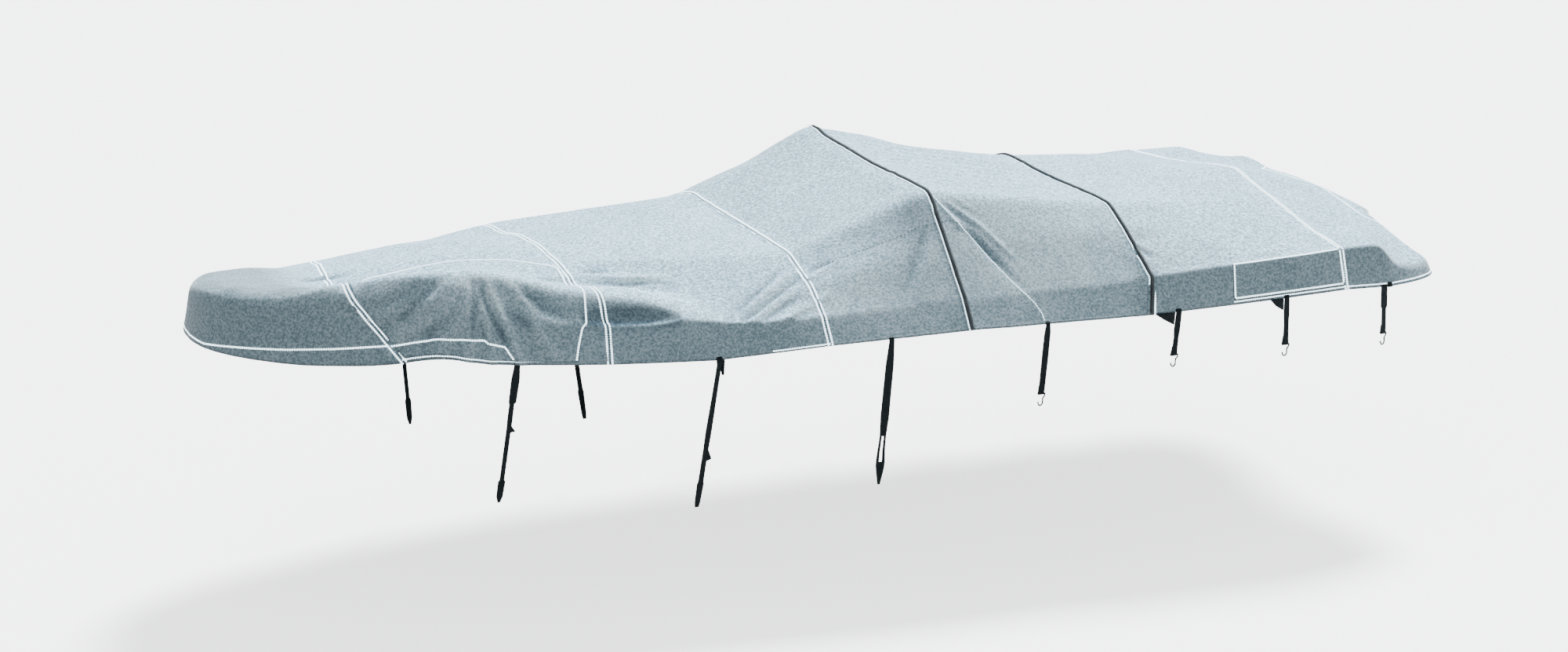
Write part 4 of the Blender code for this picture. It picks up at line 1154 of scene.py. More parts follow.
BEYOND_GROOVE = 8        # rows
CORD_STEP = 0.012
CORD_RADIUS = 0.0066     # the cord and the strip folded round it
TAPE = 0.0006
TAPE_HALF = 0.0105       # half the width of the strip's edges, which lie flat on the cloth
for name, panel_name in (("piping_screen", "cockpit"), ("piping_rear", "rear")):
    line, normals = seam_line(panel_name)
    run = line_run(line)
    places = np.linspace(0.0, run[-1], int(run[-1] / CORD_STEP))
    line, normals = resample(line, run, places), unit(resample(normals, run, places))
    strip = np.linspace(-1.0, 1.0, 7)
    across = unit(np.cross(normals, along_line(line)))
    tape = (line[:, None] + TAPE_HALF * strip[:, None] * across[:, None]
            + (CLOTH / 2 + SEAM_RAISE + SEAM_DIP + TAPE) * normals[:, None])
    flat = np.stack(np.broadcast_arrays(places[:, None], TAPE_HALF * strip), axis=-1)
    piece = make_piece(name + "_tape", tape, grid_faces(len(places), 7)[:, ::-1], dark_cord, flat,
                       TAPE)
    size = (2.0 * TAPE_HALF, float(run[-1]))
    centre = line + normals * (CLOTH / 2 + SEAM_RAISE + SEAM_DIP + CORD_RADIUS * 0.7)
    piece = make_tube(name + "_cord", centre, normals, CORD_RADIUS, dark_cord, 14)
    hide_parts(name)
    print(piece.name, round(float(run[-1]), 2), "m")

# %% [markdown]
# ## Top stitching
# The seams are sewn with white thread in two rows, with the folded edges' groove between them.
# White stitches are 4 to 9 mm wide, and dark ones about 3 mm, where real thread is about 1 mm,
# so that rows read from afar.  One stitch is a short rounded bar of eighteen faces.  A row is
# that bar copied, as one array, to even places along a line on the cloth, turned to the line
# and the normal.

# %% Make stitches and seam rows
STITCH_LONG = 0.0100
STITCH_WIDE = 0.0086
REAR_ROW, REAR_WIDE = 0.0075, 0.0094
WHITE_HEM_WIDE, GREY_HEM_WIDE = 0.0066, 0.0040
DARK_ROW = 0.026         # of the dark row beside the piping, from the groove
STITCH_HIGH = 0.0024
STITCH_PITCH = 0.0112
PIPED_ROW = 0.0155       # of the single row beside a piped seam's groove
PIPED_WIDE = 0.0056
SIDE_ROW = 0.15          # length up from the hem of the row behind the stern piping
SIDE_TOP = 0.0068        # lift of that row, clear of the cord
white_thread, white_thread_shader = principled("white_thread", (0.86, 0.88, 0.90), 0.6)
dark_thread, dark_thread_shader = principled("dark_thread", (0.05, 0.06, 0.07), 0.7)
grey_thread, grey_thread_shader = principled("grey_thread", (0.40, 0.48, 0.52), 0.7)


def stitch_shape(sides=6):
    """Two rings and two tips: half width and height times (cos, sin), along the stitch."""
    turn = np.linspace(0.0, 2.0 * np.pi, sides, endpoint=False)
    rings = [np.column_stack((np.full(sides, at), share * np.cos(turn), share * np.sin(turn)))
             for at, share in ((-0.36, 1.0), (0.36, 1.0))]
    points = np.vstack([[(-0.5, 0.0, -0.2)]] + rings + [[(0.5, 0.0, -0.2)]])
    k = np.arange(sides)
    after = (k + 1) % sides
    tips = [(0, 1 + b, 1 + a) for a, b in zip(k, after)]
    tips += [(2 * sides + 1, 1 + sides + a, 1 + sides + b) for a, b in zip(k, after)]
    walls = [(1 + a, 1 + b, 1 + sides + b, 1 + sides + a) for a, b in zip(k, after)]
    return points, tips + walls


def stitch_rows(name, rows, finish, long=STITCH_LONG, pitch=STITCH_PITCH, wide=STITCH_WIDE,
                skip=None):
    """Stitches along each (line, normals, lift): place + a * along + b * across + c * normal."""
    shape, faces = stitch_shape()
    scale = np.array((long, wide / 2.0, STITCH_HIGH / 2.0))
    places, frames = [], []
    for line, normals, lift in rows:
        run = line_run(line)
        at = np.arange(pitch / 2.0, run[-1], pitch)
        if len(at) == 0:
            continue
        if skip is not None:
            at = at[~skip(at)]
        ahead, normal = resample(along_line(line), run, at), resample(normals, run, at)
        ahead, normal = unit(ahead), unit(normal)
        across = unit(np.cross(normal, ahead))
        places.append(resample(line, run, at) + normal * lift)
        frames.append(np.stack((ahead, across, np.cross(ahead, across)), axis=1))
    places, frames = np.concatenate(places), np.concatenate(frames)
    points = places[:, None] + np.einsum("pk,nkd->npd", shape * scale, frames)
    count = len(shape)
    shift = (np.arange(len(places)) * count)[:, None]
    all_faces = [(np.array(face)[None, :] + shift).tolist() for face in faces]
    flat = np.broadcast_to(shape[:, :2] * scale[:2], (len(places), count, 2))
    piece = make_piece(name, points, [f for group in all_faces for f in group], finish, flat)
    print(name, len(places), "stitches")
    return piece


def beside(line, normals, offset):
    """A line on the cloth beside another: place + offset * (normal x direction)."""
    return line + offset * unit(np.cross(normals, along_line(line)))


SEAM_TOP = CLOTH / 2 + SEAM_RAISE + SEAM_DIP + 0.0002
SEAM_ROWS = {            # panel aft of the seam, the rows' offsets: aft of the groove is above 0
    "bow": ("foredeck", (-ROW_OFFSET, ROW_OFFSET)),
    "bump": ("middeck", (-ROW_OFFSET, ROW_OFFSET)),
    "screen_foot": ("screen", (-ROW_OFFSET, ROW_OFFSET)),
}
for seam, (panel_name, offsets) in SEAM_ROWS.items():
    line, normals = seam_line(panel_name)
    rows = [(beside(line, normals, -offset), normals, SEAM_TOP) for offset in offsets]
    stitch_rows("stitching_" + seam, rows, white_thread)
line, normals = seam_line("rear", last=True)
rows = [(beside(line, normals, -offset), normals, SEAM_TOP) for offset in (-REAR_ROW, REAR_ROW)]
stitch_rows("stitching_rear", rows, white_thread, wide=REAR_WIDE)
line, normals = seam_line("cockpit")
stitch_rows("stitching_screen_top", [(beside(line, normals, PIPED_ROW), normals, SEAM_TOP)],
            white_thread, wide=PIPED_WIDE)
line, normals = seam_line("rear")
length = line_run(line)[-1]
stitch_rows("stitching_cockpit", [(beside(line, normals, PIPED_ROW), normals, SEAM_TOP)],
            white_thread, wide=PIPED_WIDE,
            skip=lambda at: (at < SIDE_ROW) | (at > length - SIDE_ROW))
stitch_rows("stitching_cockpit_sides", [(beside(line, normals, -PIPED_ROW), normals, SIDE_TOP)],
            white_thread, skip=lambda at: (at > SIDE_ROW) & (at < length - SIDE_ROW))
for name, panel_name in (("screen", "cockpit"), ("rear", "rear")):
    line, normals = seam_line(panel_name)
    stitch_rows("stitching_beside_piping_" + name,
                [(beside(line, normals, DARK_ROW), normals, SEAM_TOP)],
                dark_thread, long=0.007, pitch=0.013, wide=0.0026)

# %% [markdown]
# ## Stitching laid out from listed places
# The other rows don't follow a seam, so each is a short list of places.  A line is measured out
# at even steps and every step is dropped onto the nearest point of its panel, along the normal
# there, so a row stays on the cloth whatever folds lie under it.

# %% Sew the hem, the strips and the patches
THREAD_LIFT = 0.0004
ON_CLOTH = CLOTH / 2 + THREAD_LIFT
ON_PATCH = LIFT + PATCH / 2 + THREAD_LIFT
HEM_ROW = ((-1.60, -1.00, 1.20, 1.40), (0.020, 0.010, 0.010, 0.015))     # x, height above the hem
HEM_STARTS = -2.66       # ahead of this the bow's own strip takes the hem's place
WHITE_HEM = ((-2.66, -1.90), (-0.98, -0.70), (1.36, 2.60))       # elsewhere the thread is grey


def hem_rows(panel):
    """Points a short way above the hem on each rib, by way of the skirt's even columns."""
    grid, normals = panel["grid"], panel["normals"]
    total = grid.shape[1]
    sides = (0, total - 1) if "x" in panel else (total - 1,)
    rows = []
    for side in sides:
        column_before = 1 if side == 0 else side - 1
        step = np.linalg.norm(grid[:, side] - grid[:, column_before], axis=1)
        above = np.interp(grid[:, side, 0], *HEM_ROW)
        away = np.minimum(above / step, panel["skirt"] - 1.0)
        at = away if side == 0 else side - away
        every = np.arange(len(grid), dtype=float)
        rows.append((read_grid(grid, every, at), unit(read_grid(normals, every, at))))
    return rows


def parts_where(inside):
    """Runs of neighbouring numbers at which a condition holds."""
    places = np.flatnonzero(inside)
    parts = np.split(places, np.flatnonzero(np.diff(places) > 1) + 1)
    return [part for part in parts if len(part) > 2]


for name, panel in cloth.items():
    white, grey = [], []
    for line, normals in hem_rows(panel):
        x = line[:, 0]
        is_white = np.any([(x > low) & (x < high) for low, high in WHITE_HEM], axis=0)
        for rows, inside in ((white, is_white), (grey, ~is_white & (x > HEM_STARTS))):
            rows += [(line[part], normals[part], ON_CLOTH) for part in parts_where(inside)]
    if white:
        stitch_rows("stitching_hem_white_" + name, white, white_thread, wide=WHITE_HEM_WIDE)
    if grey:
        stitch_rows("stitching_hem_grey_" + name, grey, grey_thread, wide=GREY_HEM_WIDE)


def laid_line(panel_name, knots, lift, step=0.006):
    """Even steps along the knots, each moved along the nearest normal onto the cloth.

    place = p - ((p - nearest) . normal) * normal"""
    knots = np.array(knots) - (0.0, 0.0, HELD_HEIGHT)
    run = line_run(knots)
    line = resample(knots, run, np.linspace(0.0, run[-1], max(3, int(run[-1] / step))))
    near = cloth[panel_name]["grid"].reshape(-1, 3)
    normals = cloth[panel_name]["normals"].reshape(-1, 3)
    nearest = np.array([np.argmin(((near - place) ** 2).sum(axis=1)) for place in line])
    normal = normals[nearest]
    off = ((line - near[nearest]) * normal).sum(axis=1)
    return line - off[:, None] * normal, normal, lift


def rib_places(panel_name, side, corners, lift, steps=120):
    """A line through corners given as (x, way out), read from a cross panel."""
    x, out = np.array(corners).T
    run = line_run(np.column_stack((x, out)))
    at = np.linspace(0.0, run[-1], steps)
    places, normals = panel_point(panel_name, np.interp(at, run, x), np.interp(at, run, out),
                                  side)[:2]
    return places, normals, lift


def mirrored(knots):
    """The same places on the starboard side."""
    return [(x, -y, z) for x, y, z in knots]


BOW_STRIP = ((-3.425, 0.0, 0.040), (-3.40, -0.181, 0.036), (-3.352, -0.287, 0.048),
             (-3.244, -0.414, 0.059), (-3.112, -0.518, 0.066), (-2.922, -0.625, 0.078),
             (-2.695, -0.725, 0.095))
rows = [laid_line("bow", knots, ON_CLOTH) for knots in (BOW_STRIP, mirrored(BOW_STRIP))]
stitch_rows("stitching_bow_strip", rows, white_thread)
rows = [rib_places("foredeck", side, ((-2.772, 1.762), (-2.598, 1.745), (-2.388, 1.622),
                                      (-2.308, 1.580), (-2.296, 1.619), (-2.227, 1.667),
                                      (-2.222, 1.720), (-2.215, 1.880)), lift)
        for side, lift in ((-1, ON_PATCH), (1, ON_CLOTH))]
stitch_rows("stitching_bow_strip_end", rows, white_thread)

EDGE = 0.008
share = np.linspace(0.0, 1.0, 13)
top_x = np.linspace(BOW_PATCH_X[0] + EDGE, BOW_PATCH_X[1] - EDGE, 13)
rows = [rib_places("foredeck", -1, corners, ON_PATCH, 240) for corners in (
    [(x, bow_patch_top(x) + 0.012) for x in top_x],
    [(bow_patch_aft(t) - EDGE, 0.36 + t * (BOW_PATCH_BOTTOM - 0.40)) for t in share])]
stitch_rows("stitching_patch_bow", rows, white_thread)

low, high = STERN_PATCH_X[0] + EDGE, STERN_PATCH_X[1] - EDGE
top, bottom = STERN_PATCH_OUT[0] + 0.010, STERN_PATCH_OUT[1] - 0.040
for side, name in ((-1, "port"), (1, "starboard")):
    rows = [rib_places("rear", side, corners, ON_PATCH) for corners in (
        ((low, bottom), (low, top)), ((low, top), (high, top)),
        ((high, top + 0.09), (high, bottom)),
        ((low, bottom), (high, bottom)))]
    stitch_rows("stitching_patch_stern_" + name, rows, white_thread)

CUT_OUT = ((2.486, 0.0, 0.218), (2.486, -0.072, 0.218), (2.465, -0.181, 0.216),
           (2.430, -0.404, 0.212), (2.440, -0.520, 0.190), (2.500, -0.590, 0.160),
           (2.545, -0.690, 0.110))
rows = [laid_line("stern", knots, ON_CLOTH) for knots in (CUT_OUT, mirrored(CUT_OUT))]
stitch_rows("stitching_cut_out", rows, white_thread)

# %% [markdown]
# ## Tucks in the cockpit's sides
# Two tucks take up the cloth's fullness at the windscreen's corners: one along the side, sewn
# in dark thread, and a long slanting one from the shoulder down to the hem, whose fold stands
# up as a pale ridge with a single white row.

# %% Sew the tucks
SIDE_TUCK = (("screen", ((-0.628, -0.789, 0.279), (-0.466, -0.793, 0.323),
                         (-0.342, -0.793, 0.356), (-0.187, -0.794, 0.398),
                         (-0.103, -0.786, 0.427), (-0.021, -0.792, 0.433))),
             ("cockpit", ((0.008, -0.789, 0.44), (0.044, -0.783, 0.444), (0.125, -0.801, 0.424))))
rows = [laid_line(panel_name, knots, ON_CLOTH) for panel_name, knots in SIDE_TUCK]
rows += [laid_line(panel_name, mirrored(knots), ON_CLOTH) for panel_name, knots in SIDE_TUCK]
stitch_rows("stitching_side_tuck", rows, dark_thread, long=0.012, pitch=0.020, wide=0.0030)
LONG_TUCK = ((0.008, -0.680, 0.541), (0.058, -0.750, 0.476), (0.131, -0.843, 0.381),
             (0.240, -1.007, 0.240), (0.306, -1.112, 0.165), (0.347, -1.148, 0.111),
             (0.368, -1.169, 0.059), (0.371, -1.186, 0.020))
rows = [laid_line("cockpit", LONG_TUCK[first:last], lift) for first, last, lift in
        ((0, 4, ON_CLOTH + 0.001), (3, 8, ON_CLOTH + 0.001))]
stitch_rows("stitching_long_tuck", rows, white_thread, long=0.0085, pitch=0.0125, wide=0.0040)

# %% [markdown]
# ## Tie-down straps
# Each strap is a strip of webbing whose width changes where it is knotted, doubled or pinched,
# sewn to the hem and leaning in under the hull.  Four on each side end in a loop round a bent
# wire hook.  One has a slit.  A strip is a grid: the way down it, and the way across it.

# %% State the straps
STANDOFF = 0.0045
HEM_CLEAR_DROPS = (0.0, 0.006)
LEAN_FROM = 0.012
LOOP_RADIUS = WIRE_RADIUS + WEBBING / 2 + 2 * GAP
HOOK_OVERHANG = 0.006
TAIL_DROPS = (0.020, 0.042)
TAIL_BEHIND = (1.25, 0.90)
STRAPS = {               # rows of (drop below the hem, fore edge, aft edge)
    1: dict(x=-2.146, lean=0.33, aft=-0.10, hook=False, rows=(
        (-0.014, 0.013, 0.013), (0.010, 0.014, 0.014), (0.070, 0.019, 0.020),
        (0.190, 0.017, 0.018), (0.200, 0.013, 0.010), (0.290, 0.013, 0.012),
        (0.315, 0.011, 0.011), (0.345, 0.011, 0.032), (0.350, 0.011, 0.011),
        (0.460, 0.011, 0.011), (0.600, 0.011, 0.011), (0.612, 0.017, 0.017),
        (0.690, 0.016, 0.014), (0.722, 0.007, 0.005))),
    2: dict(x=-1.228, lean=0.40, aft=-0.04, hook=False, rows=(
        (-0.016, 0.010, 0.010), (-0.006, 0.016, 0.016), (0.012, 0.014, 0.014),
        (0.022, 0.011, 0.011), (0.200, 0.012, 0.012), (0.380, 0.015, 0.014),
        (0.480, 0.013, 0.012), (0.535, 0.013, 0.034), (0.545, 0.013, 0.012),
        (0.660, 0.013, 0.013), (0.670, 0.017, 0.016), (0.770, 0.014, 0.013),
        (0.800, 0.010, 0.009))),
    3: dict(x=-0.405, lean=0.24, aft=0.01, hook=False, slit=(0.500, 0.635), rows=(
        (-0.014, 0.013, 0.013), (0.012, 0.013, 0.013), (0.130, 0.020, 0.020),
        (0.300, 0.021, 0.020), (0.390, 0.022, 0.021), (0.470, 0.018, 0.017),
        (0.500, 0.017, 0.015), (0.520, 0.018, 0.015), (0.580, 0.022, 0.016),
        (0.635, 0.024, 0.020), (0.650, 0.024, 0.021), (0.690, 0.018, 0.017),
        (0.755, 0.006, 0.006))),
    4: dict(x=0.384, lean=0.17, aft=0.00, hook=True, rows=(
        (-0.012, 0.011, 0.011), (0.012, 0.012, 0.012), (0.040, 0.016, 0.016),
        (0.160, 0.017, 0.017), (0.300, 0.016, 0.016), (0.355, 0.015, 0.015))),
    5: dict(x=1.072, lean=0.10, aft=-0.04, hook=True, rows=(
        (-0.016, 0.014, 0.014), (0.020, 0.016, 0.015), (0.090, 0.017, 0.016),
        (0.125, 0.013, 0.013), (0.180, 0.014, 0.014), (0.215, 0.016, 0.016))),
    6: dict(x=1.655, lean=0.10, aft=0.06, hook=True, rows=(
        (-0.016, 0.013, 0.013), (0.020, 0.015, 0.014), (0.080, 0.016, 0.015),
        (0.120, 0.013, 0.013), (0.190, 0.014, 0.014), (0.235, 0.016, 0.016))),
    7: dict(x=2.205, lean=0.10, aft=0.10, hook=True, rows=(
        (-0.012, 0.016, 0.018), (0.012, 0.018, 0.019), (0.100, 0.019, 0.019),
        (0.112, 0.013, 0.013), (0.180, 0.013, 0.013), (0.240, 0.014, 0.014))),
}
GUSSETS = {              # corners of webbing sewn along the hem: (aft of the strap, above the hem)
    5: ((-0.130, 0.004), (-0.019, 0.001), (-0.019, -0.062), (-0.075, -0.032)),
    6: ((-0.094, 0.004), (-0.018, 0.001), (-0.018, -0.060), (-0.060, -0.034)),
    7: ((0.021, -0.004), (0.050, -0.004), (0.050, 0.020), (0.021, 0.020)),
}
SIDES = {"port": -1.0, "starboard": 1.0}
STRAP_STEP = 0.006
STRAP_COLUMNS = 13
webbing, webbing_shader = principled("webbing", (0.015, 0.022, 0.026), 0.75)
steel, steel_shader = principled("hook_steel", (0.75, 0.76, 0.78), 0.25, 1.0)


def hem_frame(x, side):
    """Hem point at x, outward direction, direction aft along the hem, and the skirt's slope."""
    ahead = np.array((x < WIDEST_X,))
    angle = side * hem_angle(np.array((x,)), ahead)
    edge, hem, outward = skirt_lines(angle, ahead, angle, ahead)
    outward = np.array((*outward[0], 0.0))
    tangent = np.array((-outward[1], outward[0], 0.0))
    hem = hem[0] - (0.0, 0.0, HELD_HEIGHT)
    slope = edge[0] - (0.0, 0.0, HELD_HEIGHT) - hem
    return hem, outward, tangent * np.sign(tangent[0]), slope / slope[2]


def strap_places(frame, along, drop, behind, lean, aft):
    """hem + outward * (standoff - lean * drop - behind) + tangent * (along + aft * drop)."""
    hem, outward, tangent, slope = frame
    below = np.maximum(drop, 0.0)
    out = STANDOFF - lean * np.maximum(0.0, drop - LEAN_FROM) - behind
    base = hem + out[..., None] * outward + (along + aft * below)[..., None] * tangent
    return base + np.where(drop[..., None] < 0.0, -drop[..., None] * slope,
                           drop[..., None] * np.array((0.0, 0.0, -1.0)))


def strap_rows(strap):
    """Drops down the strap, how far behind it each row lies, and its two edges."""
    table = np.array(strap["rows"])
    knots = np.unique(np.concatenate((np.arange(table[0, 0], table[-1, 0], STRAP_STEP),
                                      table[:, 0], HEM_CLEAR_DROPS, strap.get("slit", ()))))
    drop = knots[np.concatenate(((True,), np.diff(knots) > 0.0008))]
    behind = np.zeros_like(drop)
    if strap["hook"]:
        turn = np.linspace(0.0, np.pi, 13)
        up = np.linspace(0.0, 1.0, 9)[1:]
        end = drop[-1]
        tail = np.interp(up * TAIL_DROPS[1], (0.0, *TAIL_DROPS), (0.0, *TAIL_DROPS))
        drop = np.concatenate((drop[:-1], end + LOOP_RADIUS * np.sin(turn), end - tail))
        behind = np.concatenate((behind[:-1], LOOP_RADIUS * (1.0 - np.cos(turn)),
                                 LOOP_RADIUS * np.interp(tail, (0.0, *TAIL_DROPS),
                                                         (2.0, *TAIL_BEHIND))))
    place = np.minimum(drop, table[-1, 0])
    return drop, behind, np.interp(place, table[:, 0], table[:, 1]), np.interp(
        place, table[:, 0], table[:, 2])


def make_strap(number, strap, side_name):
    """A strip from fore edge to aft edge at each row; a slit leaves out its middle faces."""
    side = SIDES[side_name]
    around = hem_frame(strap["x"], side)
    drop, behind, fore, aft = strap_rows(strap)
    across = np.linspace(0.0, 1.0, STRAP_COLUMNS)
    along = -fore[:, None] + across * (fore + aft)[:, None]
    shape = along.shape
    wide = np.broadcast_to
    points = strap_places(around, along, wide(drop[:, None], shape), wide(behind[:, None], shape),
                          strap["lean"], strap["aft"])
    faces = grid_faces(*shape).reshape(shape[0] - 1, shape[1] - 1, 4)
    keep = np.ones(faces.shape[:2], dtype=bool)
    if "slit" in strap:
        top, bottom = strap["slit"]
        third = (STRAP_COLUMNS - 1) // 3
        inside = (drop[:-1] >= top - 1e-6) & (drop[:-1] < bottom - 1e-6)
        keep[np.ix_(inside, np.arange(third, 2 * third))] = False
    faces = faces[keep]
    if side > 0.0:
        faces = faces[:, ::-1]
    down = line_run(points[:, STRAP_COLUMNS // 2])
    flat = np.stack((np.broadcast_to(down[:, None], shape), along), axis=-1)
    worn = np.abs(2.0 * across[None, :] - 1.0) ** 6 + 0.0 * along
    piece = make_piece(f"webbing_{side_name}_{number}", points, faces, webbing, flat, WEBBING,
                       {"worn": worn})
    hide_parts(f"strap_{side_name}_{number}")
    return piece


for side_name in SIDES:
    for number, strap in STRAPS.items():
        make_strap(number, strap, side_name)
print("straps:", 2 * len(STRAPS))

# %% [markdown]
# ## Hooks and gussets
# A hook is one bent wire, thicker than the solids' by half: a bar through the strap's loop, a
# turn down, and an open tip that catches the trailer.  Its path is a few knots smoothed by a
# cubic.  A gusset is a scrap of webbing sewn beside a strap, to spread its pull along the hem.

# %% Bend the hooks and sew the gussets


def smooth_path(knots, steps):
    """Catmull-Rom through the knots: each span's four weights, times its four knots."""
    knots = np.asarray(knots)
    knots = np.vstack((2 * knots[0] - knots[1], knots, 2 * knots[-1] - knots[-2]))
    t = np.linspace(0.0, 1.0, steps, endpoint=False)
    weights = np.column_stack(cubic_weights(t))
    spans = [weights @ knots[k:k + 4] for k in range(len(knots) - 3)]
    return np.vstack(spans + [knots[-2:-1]])


def make_hook(number, strap, side_name):
    """The wire's path is (along the bar, up, outward) from the bar's middle."""
    hem, outward, tangent, slope = hem_frame(strap["x"], SIDES[side_name])
    drop, fore = (np.array(value) for value in strap["rows"][-1][:2])
    centre = strap_places((hem, outward, tangent, slope), np.zeros(()), drop, np.zeros(()),
                          strap["lean"], strap["aft"]) - outward * LOOP_RADIUS
    half = float(fore) + HOOK_OVERHANG
    path = np.array((
        (-half + 0.004, 0.0, 0.0), (0.0, 0.0, 0.0), (half - 0.003, 0.0, 0.0),
        (half, -0.004, 0.0), (half - 0.003, -0.014, 0.0), (half * 0.45, -0.024, 0.002),
        (half * 0.35, -0.044, 0.004), (half * 0.1, -0.054, 0.004), (-half * 0.35, -0.056, 0.004),
        (-half * 0.7, -0.048, 0.004), (-half * 0.75, -0.038, 0.004)))
    axes = np.stack((tangent, np.array((0.0, 0.0, 1.0)), outward))
    line = centre + smooth_path(path, 6) @ axes
    piece = make_tube(f"wire_{side_name}_{number}", line, np.broadcast_to(outward, line.shape),
                      WIRE_RADIUS, steel, 12)
    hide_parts(f"hook_{side_name}_{number}")
    return piece


def make_gusset(number, corners, side_name):
    """A bilinear patch between four corners."""
    strap = STRAPS[number]
    around = hem_frame(strap["x"], SIDES[side_name])
    corners = np.array(corners)
    u, v = np.meshgrid(np.linspace(0, 1, 12), np.linspace(0, 1, 8), indexing="ij")
    u, v = u[..., None], v[..., None]
    local = ((1 - u) * (1 - v) * corners[0] + u * (1 - v) * corners[1] + u * v * corners[2]
             + (1 - u) * v * corners[3])
    points = strap_places(around, local[..., 0], -local[..., 1], np.zeros(u.shape[:2]),
                          strap["lean"], strap["aft"])
    faces = grid_faces(12, 8)
    normal = np.cross(points[1, 0] - points[0, 0], points[0, 1] - points[0, 0])
    if normal @ around[1] < 0.0:
        faces = faces[:, ::-1]
    worn = np.maximum(np.abs(2 * u - 1), np.abs(2 * v - 1))[..., 0] ** 6
    piece = make_piece(f"webbing_gusset_{side_name}_{number}", points, faces, webbing, local,
                       WEBBING, {"worn": worn})
    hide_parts(f"gusset_{side_name}_{number}")
    return piece


for side_name in SIDES:
    for number, strap in STRAPS.items():
        if strap["hook"]:
            make_hook(number, strap, side_name)
    for number, corners in GUSSETS.items():
        make_gusset(number, corners, side_name)
print("hooks:", 2 * sum(strap["hook"] for strap in STRAPS.values()),
      "gussets:", 2 * len(GUSSETS))

# %% [markdown]
# ## Joining nodes
# Each finish is a small graph of nodes.  These helpers add a node, set or join its sockets, and
# do one sum, so that each finish below reads as a list of what it is made of.

# %% Write the node helpers


def node(finish, kind, *inputs, **settings):
    """Adds a node.  Each input is (socket, value), and an output given as value is joined."""
    tree = finish.node_tree
    made = tree.nodes.new("ShaderNode" + kind)
    for setting, value in settings.items():
        setattr(made, setting, value)
    for socket, value in inputs:
        if isinstance(value, bpy.types.NodeSocket):
            tree.links.new(value, made.inputs[socket])
        else:
            made.inputs[socket].default_value = value
    return made


def sum_of(finish, operation, a, b, c=0.5):
    """One Math node's result."""
    return node(finish, "Math", (0, a), (1, b), (2, c), operation=operation).outputs[0]


def noise(finish, place, scale, detail=2.0, roughness=0.5):
    """Grey noise from 0 to 1 with features one over scale across."""
    made = node(finish, "TexNoise", ("Vector", place), ("Scale", scale), ("Detail", detail),
                ("Roughness", roughness))
    return made.outputs["Fac"]


def stretched(finish, place, scale):
    """The place with each axis multiplied, to draw a pattern out along a thread."""
    return node(finish, "Mapping", ("Vector", place), ("Scale", scale)).outputs["Vector"]


def bands(finish, place, period, axis):
    """Sine bands.  A wave texture repeats scale * 20 / (2 pi) times in a unit."""
    made = node(finish, "TexWave", ("Vector", place), ("Scale", 2.0 * math.pi / 20.0 / period),
                bands_direction=axis, wave_type="BANDS")
    return made.outputs["Fac"]


def ramp(finish, value, *stops):
    """A colour ramp of (position, colour) stops."""
    made = node(finish, "ValToRGB", ("Fac", value))
    made.color_ramp.elements[0].position, made.color_ramp.elements[1].position = (
        stops[0][0], stops[-1][0])
    for position, colour in stops[1:-1]:
        made.color_ramp.elements.new(position)
    for element, (position, colour) in zip(made.color_ramp.elements, stops):
        element.color = (*colour, 1.0)
    return made.outputs["Color"]


def blended(finish, share, a, b, how="MIX"):
    """Colour b over colour a by a share from 0 to 1."""
    made = node(finish, "Mix", (0, share), data_type="RGBA", blend_type=how)
    for socket, value in ((6, a), (7, b)):
        if isinstance(value, bpy.types.NodeSocket):
            finish.node_tree.links.new(value, made.inputs[socket])
        else:
            made.inputs[socket].default_value = (*value, 1.0)
    return made.outputs[2]


def bumped(finish, height, strength, distance, under=None):
    """A bump node on top of another one's normal."""
    made = node(finish, "Bump", ("Height", height), ("Strength", strength), ("Distance", distance))
    if under is not None:
        finish.node_tree.links.new(under, made.inputs["Normal"])
    return made.outputs["Normal"]


def places_of(finish):
    """The place in the object, and the place on the flat pattern."""
    return (node(finish, "TexCoord").outputs["Object"],
            node(finish, "UVMap", uv_map="pattern").outputs["UV"])


def mark_of(finish, name):
    """One of the piece's marks, from 0 to 1."""
    return node(finish, "Attribute", attribute_name=name).outputs["Fac"]


def dress(finish, shader, colour, roughness, normal):
    """Joins the three results to the shader."""
    for socket, value in (("Base Color", colour), ("Roughness", roughness), ("Normal", normal)):
        finish.node_tree.links.new(value, shader.inputs[socket])


print("helpers ready")

# %% [markdown]
# ## Canvas
# The cloth is a plain-woven polyester of mixed pale and dark yarns, which gives it a heathered
# speckle a finger's width across.  Slubs run with the warp and the weft.  Cloth that faces up is
# made paler and bluer, partly as sun bleaching and partly as a painted highlight.  Crease troughs
# and the bow's top get painted shade, crests a painted highlight, and seam grooves, the cloth by
# the stitch rows, the hems and the patches' borders painted shade and dirt.  So folds show by
# painted colour as well as by their shade.  The weave itself is two crossed rows of bands on the
# flat pattern, as bump.

# %% Finish the canvas
THREAD_PITCH = 0.0014
DEEP = (0.190, 0.272, 0.314)
MIDDLE = (0.315, 0.420, 0.470)
PALE = (0.480, 0.595, 0.650)
# Colour that seams are darkened towards: painted shade and dirt.
SEAM_SHADE_AND_DIRT = (0.36, 0.42, 0.46)
place, pattern = places_of(canvas)
speckle = noise(canvas, place, 85.0, 2.0, 0.7)
warp = noise(canvas, stretched(canvas, pattern, (70.0, 520.0, 1.0)), 1.0, 1.0)
weft = noise(canvas, stretched(canvas, pattern, (520.0, 70.0, 1.0)), 1.0, 1.0)
mottle = noise(canvas, place, 3.2, 4.0, 0.55)
yarns = sum_of(canvas, "MULTIPLY_ADD", sum_of(canvas, "ADD", warp, weft), 0.35, -0.35)
bleach_and_painted_highlight = mark_of(canvas, "bleach_and_painted_highlight")
contrast = sum_of(canvas, "MULTIPLY_ADD", bleach_and_painted_highlight, 1.3, 1.35)
shade = sum_of(canvas, "MULTIPLY_ADD", sum_of(canvas, "SUBTRACT", speckle, 0.5), contrast, 0.5)
shade = sum_of(canvas, "ADD", shade, yarns)
